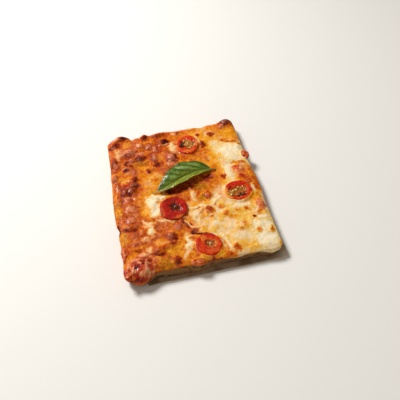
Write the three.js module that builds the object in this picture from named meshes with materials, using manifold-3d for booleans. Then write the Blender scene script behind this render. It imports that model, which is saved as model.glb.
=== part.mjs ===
// A rectangular slice of tray-baked margherita pizza on a thin paper liner.
// Millimetres, +Z up. The cut front edge faces -Y and the other cut edge faces +X; the left
// and back edges were baked against the tray. The origin is under the middle of the whole,
// on the surface that the liner lies on.

import * as THREE from 'three';
import { mergeVertices } from 'three/addons/utils/BufferGeometryUtils.js';
import Module from 'manifold-3d';

// ---------------------------------------------------------------- driving dimensions

// The slice's corners in plan, at the side of the dough
const FRONT_LEFT = [-68.3, -80.6];
const FRONT_RIGHT = [64.0, -81.2];
const BACK_RIGHT = [67.6, 85.6];
const BACK_LEFT = [-64.2, 81.4];
const WIDTH = FRONT_RIGHT[0] - FRONT_LEFT[0];
const DEPTH = BACK_LEFT[1] - FRONT_LEFT[1];
const CORNER_RADIUS = 4;

// How far from its edge a bulge, a raised place or a hanging drip is still felt
const FADE = { out: 14, up: 9, hang: 7, foot: 7 };

// The layers' levels, with the gap that keeps touching pieces apart
const GAP = 0.3;
const LINER_TOP = 0.4;
const DOUGH_BOTTOM = LINER_TOP + GAP;
const DOUGH_TOP = 8.0;
const SAUCE_BOTTOM = DOUGH_TOP + GAP;
const SAUCE_TOP = 9.3;
const CHEESE_BOTTOM = SAUCE_TOP + GAP;
const CHEESE_TOP = 12.7;
const SHOULDER_DROP = 1.5;        // how far the cheese rounds down towards its edge
const SHOULDER_WIDTH = 5;

// The liner: the slice overhangs it on the left, and it stands out in front and on the right
const LINER = { left: -52.3, right: 69.9, front: -87.6, back: 76, curl: 0.9, curlWidth: 7 };

// Grids: cells across and along the cheese; the dough and the sauce use half as many
const CELLS_ACROSS = 44;
const CELLS_ALONG = 56;

// Where an edge of the slice bulges or dips. at: place along the edge, half: half its length,
// out: outwards, up: raised, hang: how far the melted cheese hangs down over the side,
// foot: how far the dough's cut side stands out at its bottom
const EDGE_FORMS = {
  left: [
    { at: -9, half: 50, out: 2.0 },
    { at: -34, half: 6, out: -1.6, up: -0.4 },
    { at: -76, half: 12, out: 0.6, hang: 3.5 },
    { at: 30, half: 9, out: 0.6, up: 0.3, hang: 0.8 },
  ],
  back: [
    { at: -49, half: 11, out: 2.8, up: 4.2, hang: 0.6 },
    { at: -40, half: 4, out: -2.0, up: -1.0 },
    { at: -27, half: 6, out: 0.8, up: 2.6 },
    { at: -10, half: 16, out: 1.6, up: 0.8, hang: 0.5 },
    { at: 34, half: 8, out: -1.8, up: -0.4 },
    { at: 61, half: 11, out: 1.8, up: 2.8, hang: 0.8 },
  ],
  right: [
    { at: -4, half: 34, out: 1.8, hang: 1.0 },
    { at: -66, half: 14, out: 0.3, hang: 2.4 },
    { at: 70, half: 18, out: 0.4, up: 0.5, hang: 1.2 },
  ],
  front: [
    { at: -57.5, half: 15, out: 5.2, up: 0.8, hang: 5.0 },
    { at: -20, half: 44, foot: 2.7 },
    { at: -8, half: 9, out: 1.2, hang: 1.6 },
    { at: 24, half: 10, out: 0.6, hang: 1.2 },
    { at: 55, half: 12, out: 1.6, hang: 2.6 },
  ],
};

// Blisters of browned cheese, [x, y, half-width, half-depth, height]
const BLISTERS = [
  [-62, 76, 9, 6, 1.2], [-27, 80, 6, 6, 1.8], [-12, 80, 8, 5, 1.4], [-9, 70, 8, 5, 1.6],
  [-34, 66, 6, 7, 1.8], [-45, 60, 9, 7, 2.0], [-62, 50, 5, 8, 1.6], [-46, 49, 7, 5, 2.2],
  [-36, 50, 7, 6, 1.5], [-22, 46, 6, 9, 1.7], [-6, 44, 7, 9, 2.0], [-52, 39, 6, 6, 1.2],
  [-31, 31, 6, 5, 1.1], [-64, 30, 5, 6, 1.2], [-47, 22, 6, 7, 1.7], [-49, 13, 8, 7, 2.4],
  [-56, 7, 7, 6, 1.9], [-55, -7, 8, 6, 1.4], [-57, -33, 10, 6, 1.8], [-48, -42, 5, 6, 1.2],
  [-25, -50, 7, 8, 1.8], [-14, -40, 5, 6, 1.3], [-38, -62, 10, 6, 1.8], [-25, -75, 7, 5, 1.4],
  [-56, -74, 13, 12, 2.8], [29, 57, 6, 6, 1.4], [41, 71, 7, 5, 1.2], [60, 81, 8, 8, 1.2],
  [54, 12, 7, 12, 1.3], [18, -12, 6, 7, 1.4], [13, -29, 8, 6, 1.2], [28, -37, 9, 5, 1.1],
  [36, -55, 8, 6, 1.1], [26, -73, 6, 6, 1.2],
];

// Smooth pools of white mozzarella, [x, y, half-width, half-depth, height]
const POOLS = [
  [53, 38, 16, 15, 0.9], [42, 12, 8, 14, 0.5], [-35, -12, 9, 15, 0.9], [-40, -37, 8, 10, 0.6],
  [42, -58, 26, 24, 0.7], [14, -44, 18, 16, 0.5], [-13, -64, 6, 12, 0.5], [-58, 62, 7, 10, 0.6],
  [-2, 58, 5, 9, 0.4], [2, -28, 8, 9, 0.5],
];

// Cherry tomato halves, cut face up. rx, ry: half-sizes, turn: of the longer axis in plan,
// lean: how far the cut face leans towards the front (+) or the back (-), rim: height of the rim
const TOMATO_DEPTH = 5.0;
const TOMATO_SIDES = 22;
const TOMATOES = [
  { x: 13.8, y: 57.4, rx: 10.2, ry: 14.6, turn: -12, lean: -2, rim: 15.4, lobes: 2 },
  { x: -17.5, y: -23.0, rx: 12.2, ry: 13.2, turn: 0, lean: 4, rim: 16.2, lobes: 3 },
  { x: 45.1, y: -15.2, rx: 12.6, ry: 12.5, turn: 10, lean: 2, rim: 15.2, lobes: 3 },
  { x: 3.5, y: -67.8, rx: 11.1, ry: 11.0, turn: 0, lean: 5, rim: 15.2, lobes: 3 },
];

// Crushed tomato that shows at the edges, [x, y, z, half-sizes along x, y and z]
const CHUNKS = [
  [66.8, 31.5, 12.2, 4.0, 5.8, 2.2],
  [60.0, -33.5, 12.9, 3.6, 5.6, 2.0],
  [-67.0, -60.0, 12.0, 2.8, 6.6, 2.0],
  [-66.8, -80.2, 12.2, 3.6, 5.6, 2.3],
  [-8.4, -81.6, 11.6, 5.6, 2.6, 1.9],
];

// The basil leaf, tip to the left and stalk to the right: its midrib in plan, the shares of its
// length where the drawn-out tip ends and the stalk begins, the half-widths of both and of the
// blade to the back and the front, where each half of it is fullest (1 is the middle, more is
// towards the stalk), the power that makes its ends blunt, the levels at which the ends rest, how
// high it arches between them, and how far the blade's two halves rise from the midrib
const LEAF_MIDRIB = [
  [-32, 0.6], [-27.2, 0.9], [-19, 3], [-10.4, 6.6], [-1.8, 10.4],
  [7, 13.9], [16.2, 16.4], [25.6, 17.4], [32.4, 16.8],
];
const LEAF = {
  tipPart: 0.12,
  stalkFrom: 0.9,
  tipWidth: 0.55,
  stalkWidth: 0.75,
  back: 13.8,
  front: 6.2,
  backFullest: 1.15,
  frontFullest: 1,
  bluntEnds: 0.68,
  tipRest: 13.8,
  stalkRest: 13.4,
  arch: 3.9,
  backRise: 4.2,
  frontRise: 2.2,
  thickness: 0.7,
  cellsLong: 27,
  cellsWide: 6,
};

// ---------------------------------------------------------------- small helpers

const clamp01 = (value) => Math.min(1, Math.max(0, value));
const smooth = (t) => t * t * (3 - 2 * t);
const mix = (a, b, t) => a + (b - a) * t;

// A round-topped hump, 1 at distance 0 and 0 from distance 1 outwards
function hump(distance) {
  return distance < 1 ? (1 - distance * distance) ** 2 : 0;
}

// A number from 0 to 1 for each lattice point, always the same one
function lattice(i, j, seed) {
  const wave = Math.sin(i * 127.1 + j * 311.7 + seed * 74.7) * 43758.5453;
  return wave - Math.floor(wave);
}

// Smooth noise from -1 to 1, with lumps of the given size
function noise(x, y, size, seed) {
  const gx = x / size;
  const gy = y / size;
  const i = Math.floor(gx);
  const j = Math.floor(gy);
  const tx = smooth(gx - i);
  const ty = smooth(gy - j);
  const near = mix(lattice(i, j, seed), lattice(i + 1, j, seed), tx);
  const far = mix(lattice(i, j + 1, seed), lattice(i + 1, j + 1, seed), tx);
  return mix(near, far, ty) * 2 - 1;
}

// The height that a list of humps adds at a place
function humps(list, x, y) {
  return list.reduce((sum, [cx, cy, rx, ry, height]) => (
    sum + height * hump(Math.hypot((x - cx) / rx, (y - cy) / ry))), 0);
}

function geometryFrom(positions, indices) {
  const geometry = new THREE.BufferGeometry();
  geometry.setAttribute('position', new THREE.Float32BufferAttribute(positions, 3));
  geometry.setIndex(indices);
  return geometry;
}

// ---------------------------------------------------------------- the slice's plan

// Each side of the slice seen from a place: how far away it is and where along it that is
function seenSides(u, v, x, y) {
  return [
    { side: 'left', away: u * WIDTH, along: y, outwards: [-1, 0] },
    { side: 'right', away: (1 - u) * WIDTH, along: y, outwards: [1, 0] },
    { side: 'front', away: v * DEPTH, along: x, outwards: [0, -1] },
    { side: 'back', away: (1 - v) * DEPTH, along: x, outwards: [0, 1] },
  ];
}

// What one kind of edge form adds up to for one side, as it is felt that far away
function edgeForm({ side, along, away }, kind) {
  const atEdge = EDGE_FORMS[side].reduce((sum, form) => (
    sum + (form[kind] ?? 0) * smooth(clamp01(1 - Math.abs(along - form.at) / form.half))), 0);
  return atEdge * smooth(clamp01(1 - away / FADE[kind]));
}

function allSides(u, v, x, y, kind) {
  return seenSides(u, v, x, y).reduce((sum, seen) => sum + edgeForm(seen, kind), 0);
}

// Squares off to a round corner: p and q run from 0, inside, to 1, at the two edges
function roundCorner(p, q) {
  return [p * Math.sqrt(1 - q * q / 2), q * Math.sqrt(1 - p * p / 2)];
}

// The place in plan of u (0 left, 1 right) and v (0 front, 1 back)
function planPoint(u, v) {
  const nearX = Math.min(u, 1 - u) * WIDTH;
  const nearY = Math.min(v, 1 - v) * DEPTH;
  let uu = u;
  let vv = v;
  if (nearX < CORNER_RADIUS && nearY < CORNER_RADIUS) {
    const [p, q] = roundCorner(1 - nearX / CORNER_RADIUS, 1 - nearY / CORNER_RADIUS);
    const insetU = CORNER_RADIUS * (1 - p) / WIDTH;
    const insetV = CORNER_RADIUS * (1 - q) / DEPTH;
    uu = u < 0.5 ? insetU : 1 - insetU;
    vv = v < 0.5 ? insetV : 1 - insetV;
  }
  const [x, y] = [0, 1].map((axis) => mix(
    mix(FRONT_LEFT[axis], FRONT_RIGHT[axis], uu), mix(BACK_LEFT[axis], BACK_RIGHT[axis], uu), vv));
  return seenSides(u, v, x, y).reduce(([px, py], seen) => {
    const out = edgeForm(seen, 'out');
    return [px + seen.outwards[0] * out, py + seen.outwards[1] * out];
  }, [x, y]);
}

// Anticlockwise round the slice, from the front left corner. Each sample has its outward
// direction, how far the cheese hangs and the dough stands out there, and whether it is cut
function perimeter(across, along) {
  const marks = [];
  for (let i = 0; i < across; i += 1) marks.push([i / across, 0]);
  for (let j = 0; j < along; j += 1) marks.push([1, j / along]);
  for (let i = across; i > 0; i -= 1) marks.push([i / across, 1]);
  for (let j = along; j > 0; j -= 1) marks.push([0, j / along]);
  const points = marks.map(([u, v]) => planPoint(u, v));
  return marks.map(([u, v], k) => {
    const [x, y] = points[k];
    const before = points[(k + points.length - 1) % points.length];
    const after = points[(k + 1) % points.length];
    const run = Math.hypot(after[0] - before[0], after[1] - before[1]);
    return {
      u, v, x, y,
      nx: (after[1] - before[1]) / run,
      ny: -(after[0] - before[0]) / run,
      hang: allSides(u, v, x, y, 'hang'),
      foot: allSides(u, v, x, y, 'foot'),
      cut: u === 1 || v === 0,
    };
  });
}

// ---------------------------------------------------------------- layered solids

// Closes a stack of rings, listed from the underside's edge outwards and up, with a flat
// face under the first ring and either a flat face or an inner grid over the last
function ringSolid(rings, topGrid) {
  const count = rings[0].length;
  const positions = rings.flat(2);
  const indices = [];
  for (let r = 0; r + 1 < rings.length; r += 1) {
    for (let k = 0; k < count; k += 1) {
      const next = (k + 1) % count;
      const a = r * count + k;
      const b = r * count + next;
      indices.push(a, b, b + count, a, b + count, a + count);
    }
  }
  const flatFace = (ring, first, faceUp) => {
    const outline = ring.map(([x, y]) => new THREE.Vector2(x, y));
    THREE.ShapeUtils.triangulateShape(outline, []).forEach(([a, b, c]) => {
      indices.push(first + a, first + (faceUp ? b : c), first + (faceUp ? c : b));
    });
  };
  flatFace(rings[0], 0, false);
  if (topGrid) {
    topGrid(positions, indices, (rings.length - 1) * count);
  } else {
    flatFace(rings[rings.length - 1], (rings.length - 1) * count, true);
  }
  return geometryFrom(positions, indices);
}

// One ring of points: each perimeter sample moved outwards and set at a height
function ring(samples, outwards, height) {
  return samples.map((s, k) => {
    const out = typeof outwards === 'function' ? outwards(s, k) : outwards;
    const z = typeof height === 'function' ? height(s, k) : height;
    return [s.x + s.nx * out, s.y + s.ny * out, z];
  });
}

// Crags of the crumb on the cut edges, and the smoother baked sides elsewhere
function crumb(sample, seed) {
  const along = sample.x + sample.y;
  const rough = noise(along, seed * 13, 5, seed) * 0.7 + noise(along, seed * 7, 11, seed + 3) * 0.5;
  return sample.cut ? rough : rough * 0.35;
}

function doughGeometry() {
  const samples = perimeter(CELLS_ACROSS / 2, CELLS_ALONG / 2);
  const heights = [0, 0.14, 0.42, 0.72, 1];
  const baked = [-2.4, -0.7, 0.1, 0.2, -0.5];
  const cut = [-0.9, -0.4, -0.6, -0.5, -0.8];
  const rings = heights.map((level, r) => ring(
    samples,
    (s) => (s.cut ? cut[r] : baked[r]) + s.foot * (1 - level) + (r > 0 ? crumb(s, r) : 0),
    mix(DOUGH_BOTTOM, DOUGH_TOP, level),
  ));
  return ringSolid(rings);
}

function sauceGeometry() {
  const samples = perimeter(CELLS_ACROSS / 2, CELLS_ALONG / 2);
  const spread = (s, k) => -0.9 + 0.5 * noise(k, 0, 3, 21);
  return ringSolid([ring(samples, spread, SAUCE_BOTTOM), ring(samples, spread, SAUCE_TOP)]);
}

// The height of the cheese's top at a place, away from its edges
function cheeseTop(x, y) {
  const lumps = noise(x, y, 15, 1) * 0.35 + noise(x, y, 7, 2) * 0.3;
  return CHEESE_TOP + lumps + humps(BLISTERS, x, y) + humps(POOLS, x, y);
}

function cheeseGeometry() {
  const samples = perimeter(CELLS_ACROSS, CELLS_ALONG);
  const count = samples.length;
  const height = (u, v) => {
    const [x, y] = planPoint(u, v);
    const level = seenSides(u, v, x, y).reduce((product, { away }) => (
      product * (1 - (1 - clamp01(away / SHOULDER_WIDTH)) ** 2)), 1);
    return mix(CHEESE_TOP - SHOULDER_DROP, cheeseTop(x, y), level) + allSides(u, v, x, y, 'up');
  };
  const lip = (s) => 0.5 + 0.12 * s.hang;
  const rings = [
    ring(samples, -3, CHEESE_BOTTOM),
    ring(samples, GAP + 0.25, CHEESE_BOTTOM),
    ring(samples, (s) => GAP + 0.3 + lip(s) / 2, (s) => CHEESE_BOTTOM - 0.2 - s.hang),
    ring(samples, (s) => GAP + 0.5 + lip(s), (s) => CHEESE_BOTTOM + 0.7 - 0.7 * s.hang),
    samples.map(({ u, v, x, y, nx, ny }) => [x + nx * 0.45, y + ny * 0.45, height(u, v)]),
  ];
  const topGrid = (positions, indices, firstOuter) => {
    const firstInner = positions.length / 3;
    for (let j = 1; j < CELLS_ALONG; j += 1) {
      for (let i = 1; i < CELLS_ACROSS; i += 1) {
        const u = i / CELLS_ACROSS;
        const v = j / CELLS_ALONG;
        positions.push(...planPoint(u, v), height(u, v));
      }
    }
    const vertex = (i, j) => {
      if (j === 0 && i < CELLS_ACROSS) return firstOuter + i;
      if (i === CELLS_ACROSS && j < CELLS_ALONG) return firstOuter + CELLS_ACROSS + j;
      if (j === CELLS_ALONG && i > 0) return firstOuter + 2 * CELLS_ACROSS + CELLS_ALONG - i;
      if (i === 0) return firstOuter + (count - j) % count;
      return firstInner + (j - 1) * (CELLS_ACROSS - 1) + (i - 1);
    };
    for (let j = 0; j < CELLS_ALONG; j += 1) {
      for (let i = 0; i < CELLS_ACROSS; i += 1) {
        const [a, b, c, d] = [vertex(i, j), vertex(i + 1, j), vertex(i + 1, j + 1), vertex(i, j + 1)];
        if ((i + j) % 2) {
          indices.push(a, b, c, a, c, d);
        } else {
          indices.push(a, b, d, b, c, d);
        }
      }
    }
  };
  return ringSolid(rings, topGrid);
}

// ---------------------------------------------------------------- toppings

// Half a tomato: a dished, cut face with seed pockets inside a thick rim, and round skin
// below. grow makes it larger all over, for the hollow that it sits in
function tomatoGeometry({ rx, ry, turn, lean, rim, lobes, x, y }, grow) {
  const profile = [
    [0, -TOMATO_DEPTH], [0.62, -TOMATO_DEPTH * 0.9], [0.92, -TOMATO_DEPTH * 0.5], [1, -TOMATO_DEPTH * 0.2],
    [0.96, -0.4], [0.86, 0], [0.7, -0.5], [0.48, -1.0], [0.24, -0.8], [0, -0.5],
  ];
  const points = profile.map(([radius, level]) => new THREE.Vector2(radius, level));
  const geometry = new THREE.LatheGeometry(points, TOMATO_SIDES);
  geometry.rotateX(Math.PI / 2);
  const place = geometry.getAttribute('position');
  for (let k = 0; k < place.count; k += 1) {
    const radius = Math.hypot(place.getX(k), place.getY(k));
    const angle = Math.atan2(place.getY(k), place.getX(k));
    const wobble = 1 + 0.03 * Math.sin(angle * 2 + x) + 0.015 * Math.sin(angle * 5 + y);
    const pocket = place.getZ(k) > -1.5 ? -0.5 * hump(Math.abs(radius - 0.48) / 0.3) : 0;
    const raised = place.getZ(k) > -TOMATO_DEPTH / 2 ? grow : -grow;
    place.setXYZ(
      k,
      place.getX(k) * (rx * wobble + grow),
      place.getY(k) * (ry * wobble + grow),
      place.getZ(k) + pocket * (0.5 + 0.5 * Math.cos(angle * lobes)) + raised,
    );
  }
  geometry.rotateX(THREE.MathUtils.degToRad(lean));
  geometry.rotateZ(THREE.MathUtils.degToRad(turn));
  geometry.translate(x, y, rim);
  return geometry;
}

// A lump of crushed tomato: a flattened ball with an uneven skin
function chunkGeometry([x, y, z, rx, ry, rz], grow) {
  const geometry = new THREE.IcosahedronGeometry(1, 2);
  const place = geometry.getAttribute('position');
  for (let k = 0; k < place.count; k += 1) {
    const [px, py, pz] = [place.getX(k), place.getY(k), place.getZ(k)];
    const uneven = 1 + 0.1 * Math.sin(px * 3 + x) * Math.cos(py * 4 + y);
    place.setXYZ(k, px * (rx * uneven + grow), py * (ry * uneven + grow), pz * (rz * uneven + grow));
  }
  geometry.translate(x, y, z);
  return geometry;
}

// The leaf is a thin sheet with its midrib in a valley and both halves rising from it. Its
// upper and lower face are the same grid, a thickness apart, joined round the rim
function leafGeometry() {
  const { tipPart, stalkFrom, cellsLong, cellsWide } = LEAF;
  const curve = new THREE.CatmullRomCurve3(LEAF_MIDRIB.map(([x, y]) => new THREE.Vector3(x, y, 0)));
  const faces = [-1, 1].map((face) => {
    const points = [];
    for (let i = 0; i <= cellsLong; i += 1) {
      const along = i / cellsLong;
      const middle = curve.getPoint(along);
      const run = curve.getTangent(along);
      const blade = clamp01((along - tipPart) / (stalkFrom - tipPart));
      const backSwell = Math.sin(Math.PI * blade ** LEAF.backFullest) ** LEAF.bluntEnds;
      const frontSwell = Math.sin(Math.PI * blade ** LEAF.frontFullest) ** LEAF.bluntEnds;
      for (let j = 0; j <= cellsWide; j += 1) {
        const across = (j / cellsWide) * 2 - 1;
        const swell = across > 0 ? backSwell : frontSwell;
        const blades = swell * (across > 0 ? LEAF.back : LEAF.front);
        const half = mix(LEAF.tipWidth, LEAF.stalkWidth, blade) + blades;
        const rise = across > 0
          ? LEAF.backRise * swell * (across * 1.6 - 0.6 * across ** 2)
          : LEAF.frontRise * swell * (-across * 1.8 - 0.8 * across ** 2);
        const pucker = 0.35 * swell * Math.sin(along * 34 + Math.abs(across) * 4) * Math.abs(across);
        const arch = LEAF.arch * Math.sin(Math.PI * along) ** 0.9;
        points.push([
          middle.x - run.y * half * across,
          middle.y + run.x * half * across,
          mix(LEAF.tipRest, LEAF.stalkRest, along) + arch + rise + pucker + face * LEAF.thickness / 2,
        ]);
      }
    }
    return points;
  });
  const row = cellsWide + 1;
  const lower = faces[0].length;
  const indices = [];
  for (let i = 0; i < cellsLong; i += 1) {
    for (let j = 0; j < cellsWide; j += 1) {
      const a = i * row + j;
      const [b, c, d] = [a + row, a + row + 1, a + 1];
      indices.push(a + lower, b + lower, c + lower, a + lower, c + lower, d + lower);
      indices.push(a, c, b, a, d, c);
    }
  }
  const rim = [];
  for (let i = 0; i < cellsLong; i += 1) rim.push(i * row);
  for (let j = 0; j < cellsWide; j += 1) rim.push(cellsLong * row + j);
  for (let i = cellsLong; i > 0; i -= 1) rim.push(i * row + cellsWide);
  for (let j = cellsWide; j > 0; j -= 1) rim.push(j);
  rim.forEach((a, k) => {
    const b = rim[(k + 1) % rim.length];
    indices.push(a, b, b + lower, a, b + lower, a + lower);
  });
  return geometryFrom(faces.flat(2), indices);
}

// The paper lies flat under the slice and its free edges in front and on the right curl up
function linerGeometry() {
  const { left, right, front, back, curl, curlWidth } = LINER;
  const columns = [left, -30, -8, 14, 36, 52, right - curlWidth, right - 4, right - 1.6, right];
  const rows = [front, front + 1.6, front + 4, front + curlWidth, -60, -30, 0, 30, 55, back];
  const lift = (x, y) => {
    const byFront = clamp01(1 - (y - front) / curlWidth) ** 2;
    const byRight = clamp01(1 - (right - x) / curlWidth) ** 2;
    const wave = 0.75 + 0.25 * Math.sin(x * 0.11 + y * 0.07);
    return curl * wave * Math.max(byFront, byRight);
  };
  const positions = [0, LINER_TOP].flatMap((z) => (
    rows.flatMap((y) => columns.flatMap((x) => [x, y, z + lift(x, y)]))));
  const wide = columns.length;
  const upper = wide * rows.length;
  const indices = [];
  for (let j = 0; j + 1 < rows.length; j += 1) {
    for (let i = 0; i + 1 < wide; i += 1) {
      const a = j * wide + i;
      const [b, c, d] = [a + 1, a + wide + 1, a + wide];
      indices.push(a + upper, b + upper, c + upper, a + upper, c + upper, d + upper);
      indices.push(a, c, b, a, d, c);
    }
  }
  const rim = [];
  for (let i = 0; i + 1 < wide; i += 1) rim.push(i);
  for (let j = 0; j + 1 < rows.length; j += 1) rim.push(j * wide + wide - 1);
  for (let i = wide - 1; i > 0; i -= 1) rim.push((rows.length - 1) * wide + i);
  for (let j = rows.length - 1; j > 0; j -= 1) rim.push(j * wide);
  rim.forEach((a, k) => {
    const b = rim[(k + 1) % rim.length];
    indices.push(a, b, b + upper, a, b + upper, a + upper);
  });
  return geometryFrom(positions, indices);
}

// ---------------------------------------------------------------- cutting the hollows

const wasm = await Module();
wasm.setup();

function toSolid(geometry) {
  geometry.deleteAttribute('normal');
  geometry.deleteAttribute('uv');
  const merged = mergeVertices(geometry, 1e-3);
  return new wasm.Manifold(new wasm.Mesh({
    numProp: 3,
    vertProperties: new Float32Array(merged.getAttribute('position').array),
    triVerts: new Uint32Array(merged.getIndex().array),
  }));
}

function fromSolid(solid) {
  const mesh = solid.getMesh();
  return mergeVertices(geometryFrom(Array.from(mesh.vertProperties), Array.from(mesh.triVerts)), 1e-3);
}

// The cheese with a hollow for each tomato half and each lump of crushed tomato
function hollowedCheese() {
  let solid = toSolid(cheeseGeometry());
  TOMATOES.forEach((tomato) => {
    solid = solid.subtract(toSolid(tomatoGeometry(tomato, GAP)));
  });
  CHUNKS.forEach((chunk) => {
    solid = solid.subtract(toSolid(chunkGeometry(chunk, GAP)));
  });
  return fromSolid(solid);
}

// ---------------------------------------------------------------- the pieces

const slice = new THREE.Group();

function addPiece(name, geometry, color, roughness) {
  geometry.computeVertexNormals();
  const material = new THREE.MeshStandardMaterial({ color, roughness, metalness: 0 });
  const mesh = new THREE.Mesh(geometry, material);
  mesh.name = name;
  slice.add(mesh);
}

addPiece('paper_liner', linerGeometry(), 0x967b64, 0.45);
addPiece('dough_base', doughGeometry(), 0xd9a866, 0.85);
addPiece('tomato_sauce', sauceGeometry(), 0xb9410b, 0.4);
addPiece('mozzarella', hollowedCheese(), 0xe3a24e, 0.4);
TOMATOES.forEach((tomato, k) => {
  addPiece(`cherry_tomato_half_${k + 1}`, tomatoGeometry(tomato, 0), 0xb5240f, 0.3);
});
CHUNKS.forEach((chunk, k) => {
  addPiece(`crushed_tomato_${k + 1}`, mergeVertices(chunkGeometry(chunk, 0), 1e-3), 0xb1391f, 0.35);
});
addPiece('basil_leaf', leafGeometry(), 0x51631f, 0.35);

export default slice;
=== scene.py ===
import math

import bpy
import numpy as np
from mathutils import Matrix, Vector


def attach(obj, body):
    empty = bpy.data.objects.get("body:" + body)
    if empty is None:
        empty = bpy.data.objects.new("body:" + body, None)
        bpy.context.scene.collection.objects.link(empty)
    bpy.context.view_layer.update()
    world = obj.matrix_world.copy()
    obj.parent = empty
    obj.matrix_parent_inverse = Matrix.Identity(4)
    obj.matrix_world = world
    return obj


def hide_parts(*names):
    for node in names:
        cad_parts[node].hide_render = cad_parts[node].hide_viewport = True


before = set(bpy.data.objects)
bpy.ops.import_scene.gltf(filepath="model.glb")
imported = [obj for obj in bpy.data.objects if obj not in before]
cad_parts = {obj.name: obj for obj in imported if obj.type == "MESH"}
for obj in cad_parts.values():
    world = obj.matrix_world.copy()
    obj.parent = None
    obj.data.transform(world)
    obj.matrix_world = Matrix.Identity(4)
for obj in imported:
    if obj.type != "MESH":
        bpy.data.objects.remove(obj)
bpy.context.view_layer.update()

# ------------------------------------------------------------------ paper liner
# The thin greaseproof sheet that the slice is served on. It was cut by hand a little larger
# than the base in front and on the right, and its free edges curl up off the table. Fat from
# the cheese has soaked into it here and there.

MM = 0.001  # sizes are written in millimetres, and the meshes are made in metres

LINER = {"left": -52.3, "right": 69.9, "front": -87.6, "back": 76.0}
LINER_CURL = 0.9
LINER_CURL_WIDTH = 7.0
LINER_CRINKLE = 0.12  # how far its crinkles lift it
LINER_CUT_STRAY = 0.35  # how far its cut edges stray from straight lines
# How far the painted light on the liner's front right corner reaches
LINER_LIT_CORNER = 16.0
LINER_THICKNESS = 0.18
LINER_GRID = (120, 100)  # rows from front to back, and points in each


def clamp01(value):
    return np.clip(value, 0.0, 1.0)


def smooth(t):
    return t * t * (3.0 - 2.0 * t)


def mix(a, b, t):
    return a + (b - a) * t


def step(low, high, value):
    """0 below low, 1 above high and a smooth change between them."""
    return smooth(clamp01((value - low) / (high - low)))


def hump(distance):
    """A round-topped hump, 1 at distance 0 and 0 from distance 1 outwards."""
    return clamp01(1 - distance**2) ** 2


def lattice(i, j, seed):
    """A number from 0 to 1 for each lattice point, always the same one."""
    wave = np.sin(i * 127.1 + j * 311.7 + seed * 74.7) * 43758.5453
    return wave - np.floor(wave)


def noise(x, y, size, seed):
    """Smooth noise from -1 to 1, with lumps of the given size."""
    gx, gy = x / size, y / size
    i, j = np.floor(gx), np.floor(gy)
    tx, ty = smooth(gx - i), smooth(gy - j)
    near = mix(lattice(i, j, seed), lattice(i + 1, j, seed), tx)
    far = mix(lattice(i, j + 1, seed), lattice(i + 1, j + 1, seed), tx)
    return mix(near, far, ty) * 2.0 - 1.0


def crumple(x, y, size, seed, octaves=3):
    """Noise of several sizes, each half the last and turned, so that no grid shows."""
    total, weight = 0.0, 1.0
    for octave in range(octaves):
        total = total + weight * noise(x, y, size, seed + octave)
        x, y = 0.8 * x - 0.6 * y + 3.1, 0.6 * x + 0.8 * y - 1.7
        size, weight = size * 0.5, weight * 0.55
    return total


def bell(distance):
    """A bell curve, 1 at distance 0."""
    return np.exp(-(distance**2))


def grid_faces(at):
    """Quads between the points of a grid of numbers, facing up where its rows run along +Y."""
    return np.stack([at[:-1, :-1], at[:-1, 1:], at[1:, 1:], at[1:, :-1]], -1).reshape(-1, 4)


def sheet_faces(rows, columns):
    """The faces of a thin sheet: an upper grid, a lower one turned over, and the rim."""
    at = np.arange(rows * columns).reshape(rows, columns)
    upper = grid_faces(at)
    lower = upper[:, ::-1] + rows * columns
    rim = np.concatenate([at[0, :-1], at[:-1, -1], at[-1, :0:-1], at[:0:-1, 0]])
    after = np.roll(rim, -1)
    wall = np.stack([rim + rows * columns, after + rows * columns, after, rim], -1)
    return np.concatenate([upper, lower, wall])


def make_piece(name, points, faces, masks=None):
    """A smooth shaded object at the origin, from points in millimetres, with named masks."""
    mesh = bpy.data.meshes.new(name)
    mesh.from_pydata((np.asarray(points) * MM).tolist(), [], faces)
    mesh.polygons.foreach_set("use_smooth", [True] * len(mesh.polygons))
    for mask, values in (masks or {}).items():
        layer = mesh.attributes.new(mask, "FLOAT", "POINT")
        layer.data.foreach_set("value", np.asarray(values, np.float32).ravel())
    mesh.update()
    piece = bpy.data.objects.new(name, mesh)
    bpy.context.scene.collection.objects.link(piece)
    return piece


def serve(piece, material, slot, *nodes):
    """Gives a finished piece its material, and its place in the frame."""
    piece.data.materials.clear()
    piece.data.materials.append(material)
    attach(piece, "root")
    if nodes:
        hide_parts(*nodes)


def rgb(red, green, blue):
    """A colour as a screen shows it, 0 to 255, in the linear form that a shader takes."""
    screen = np.array([red, green, blue]) / 255.0
    linear = np.where(screen > 0.04045, ((screen + 0.055) / 1.055) ** 2.4, screen / 12.92)
    return (*linear.tolist(), 1.0)


def add(tree, kind, inputs=None, **settings):
    """A new node, with its settings, and its inputs either linked or given a value."""
    node = tree.nodes.new(kind)
    for key, value in settings.items():
        setattr(node, key, value)
    for key, value in (inputs or {}).items():
        if isinstance(value, bpy.types.NodeSocket):
            tree.links.new(value, node.inputs[key])
        else:
            node.inputs[key].default_value = value
    return node


def blend(tree, amount, first, second):
    """A colour that goes from the first to the second as amount goes from 0 to 1."""
    return add(tree, "ShaderNodeMix", {0: amount, 6: first, 7: second}, data_type="RGBA").outputs[2]


def sums(tree, operation, first, second):
    """One step of arithmetic on two values."""
    return add(tree, "ShaderNodeMath", {0: first, 1: second}, operation=operation).outputs[0]


def plus(tree, first, second):
    return sums(tree, "ADD", first, second)


def times(tree, first, second):
    return sums(tree, "MULTIPLY", first, second)


def spread(tree, value, low, high, to_low=0.0, to_high=1.0):
    """value, stretched so that low becomes to_low and high becomes to_high."""
    inputs = {"Value": value, "From Min": low, "From Max": high, "To Min": to_low, "To Max": to_high}
    return add(tree, "ShaderNodeMapRange", inputs).outputs[0]


def varied(tree, noise, least, most):
    """Noise from 0 to 1, stretched to vary between least and most."""
    return spread(tree, noise, 0.3, 0.7, least, most)


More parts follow.
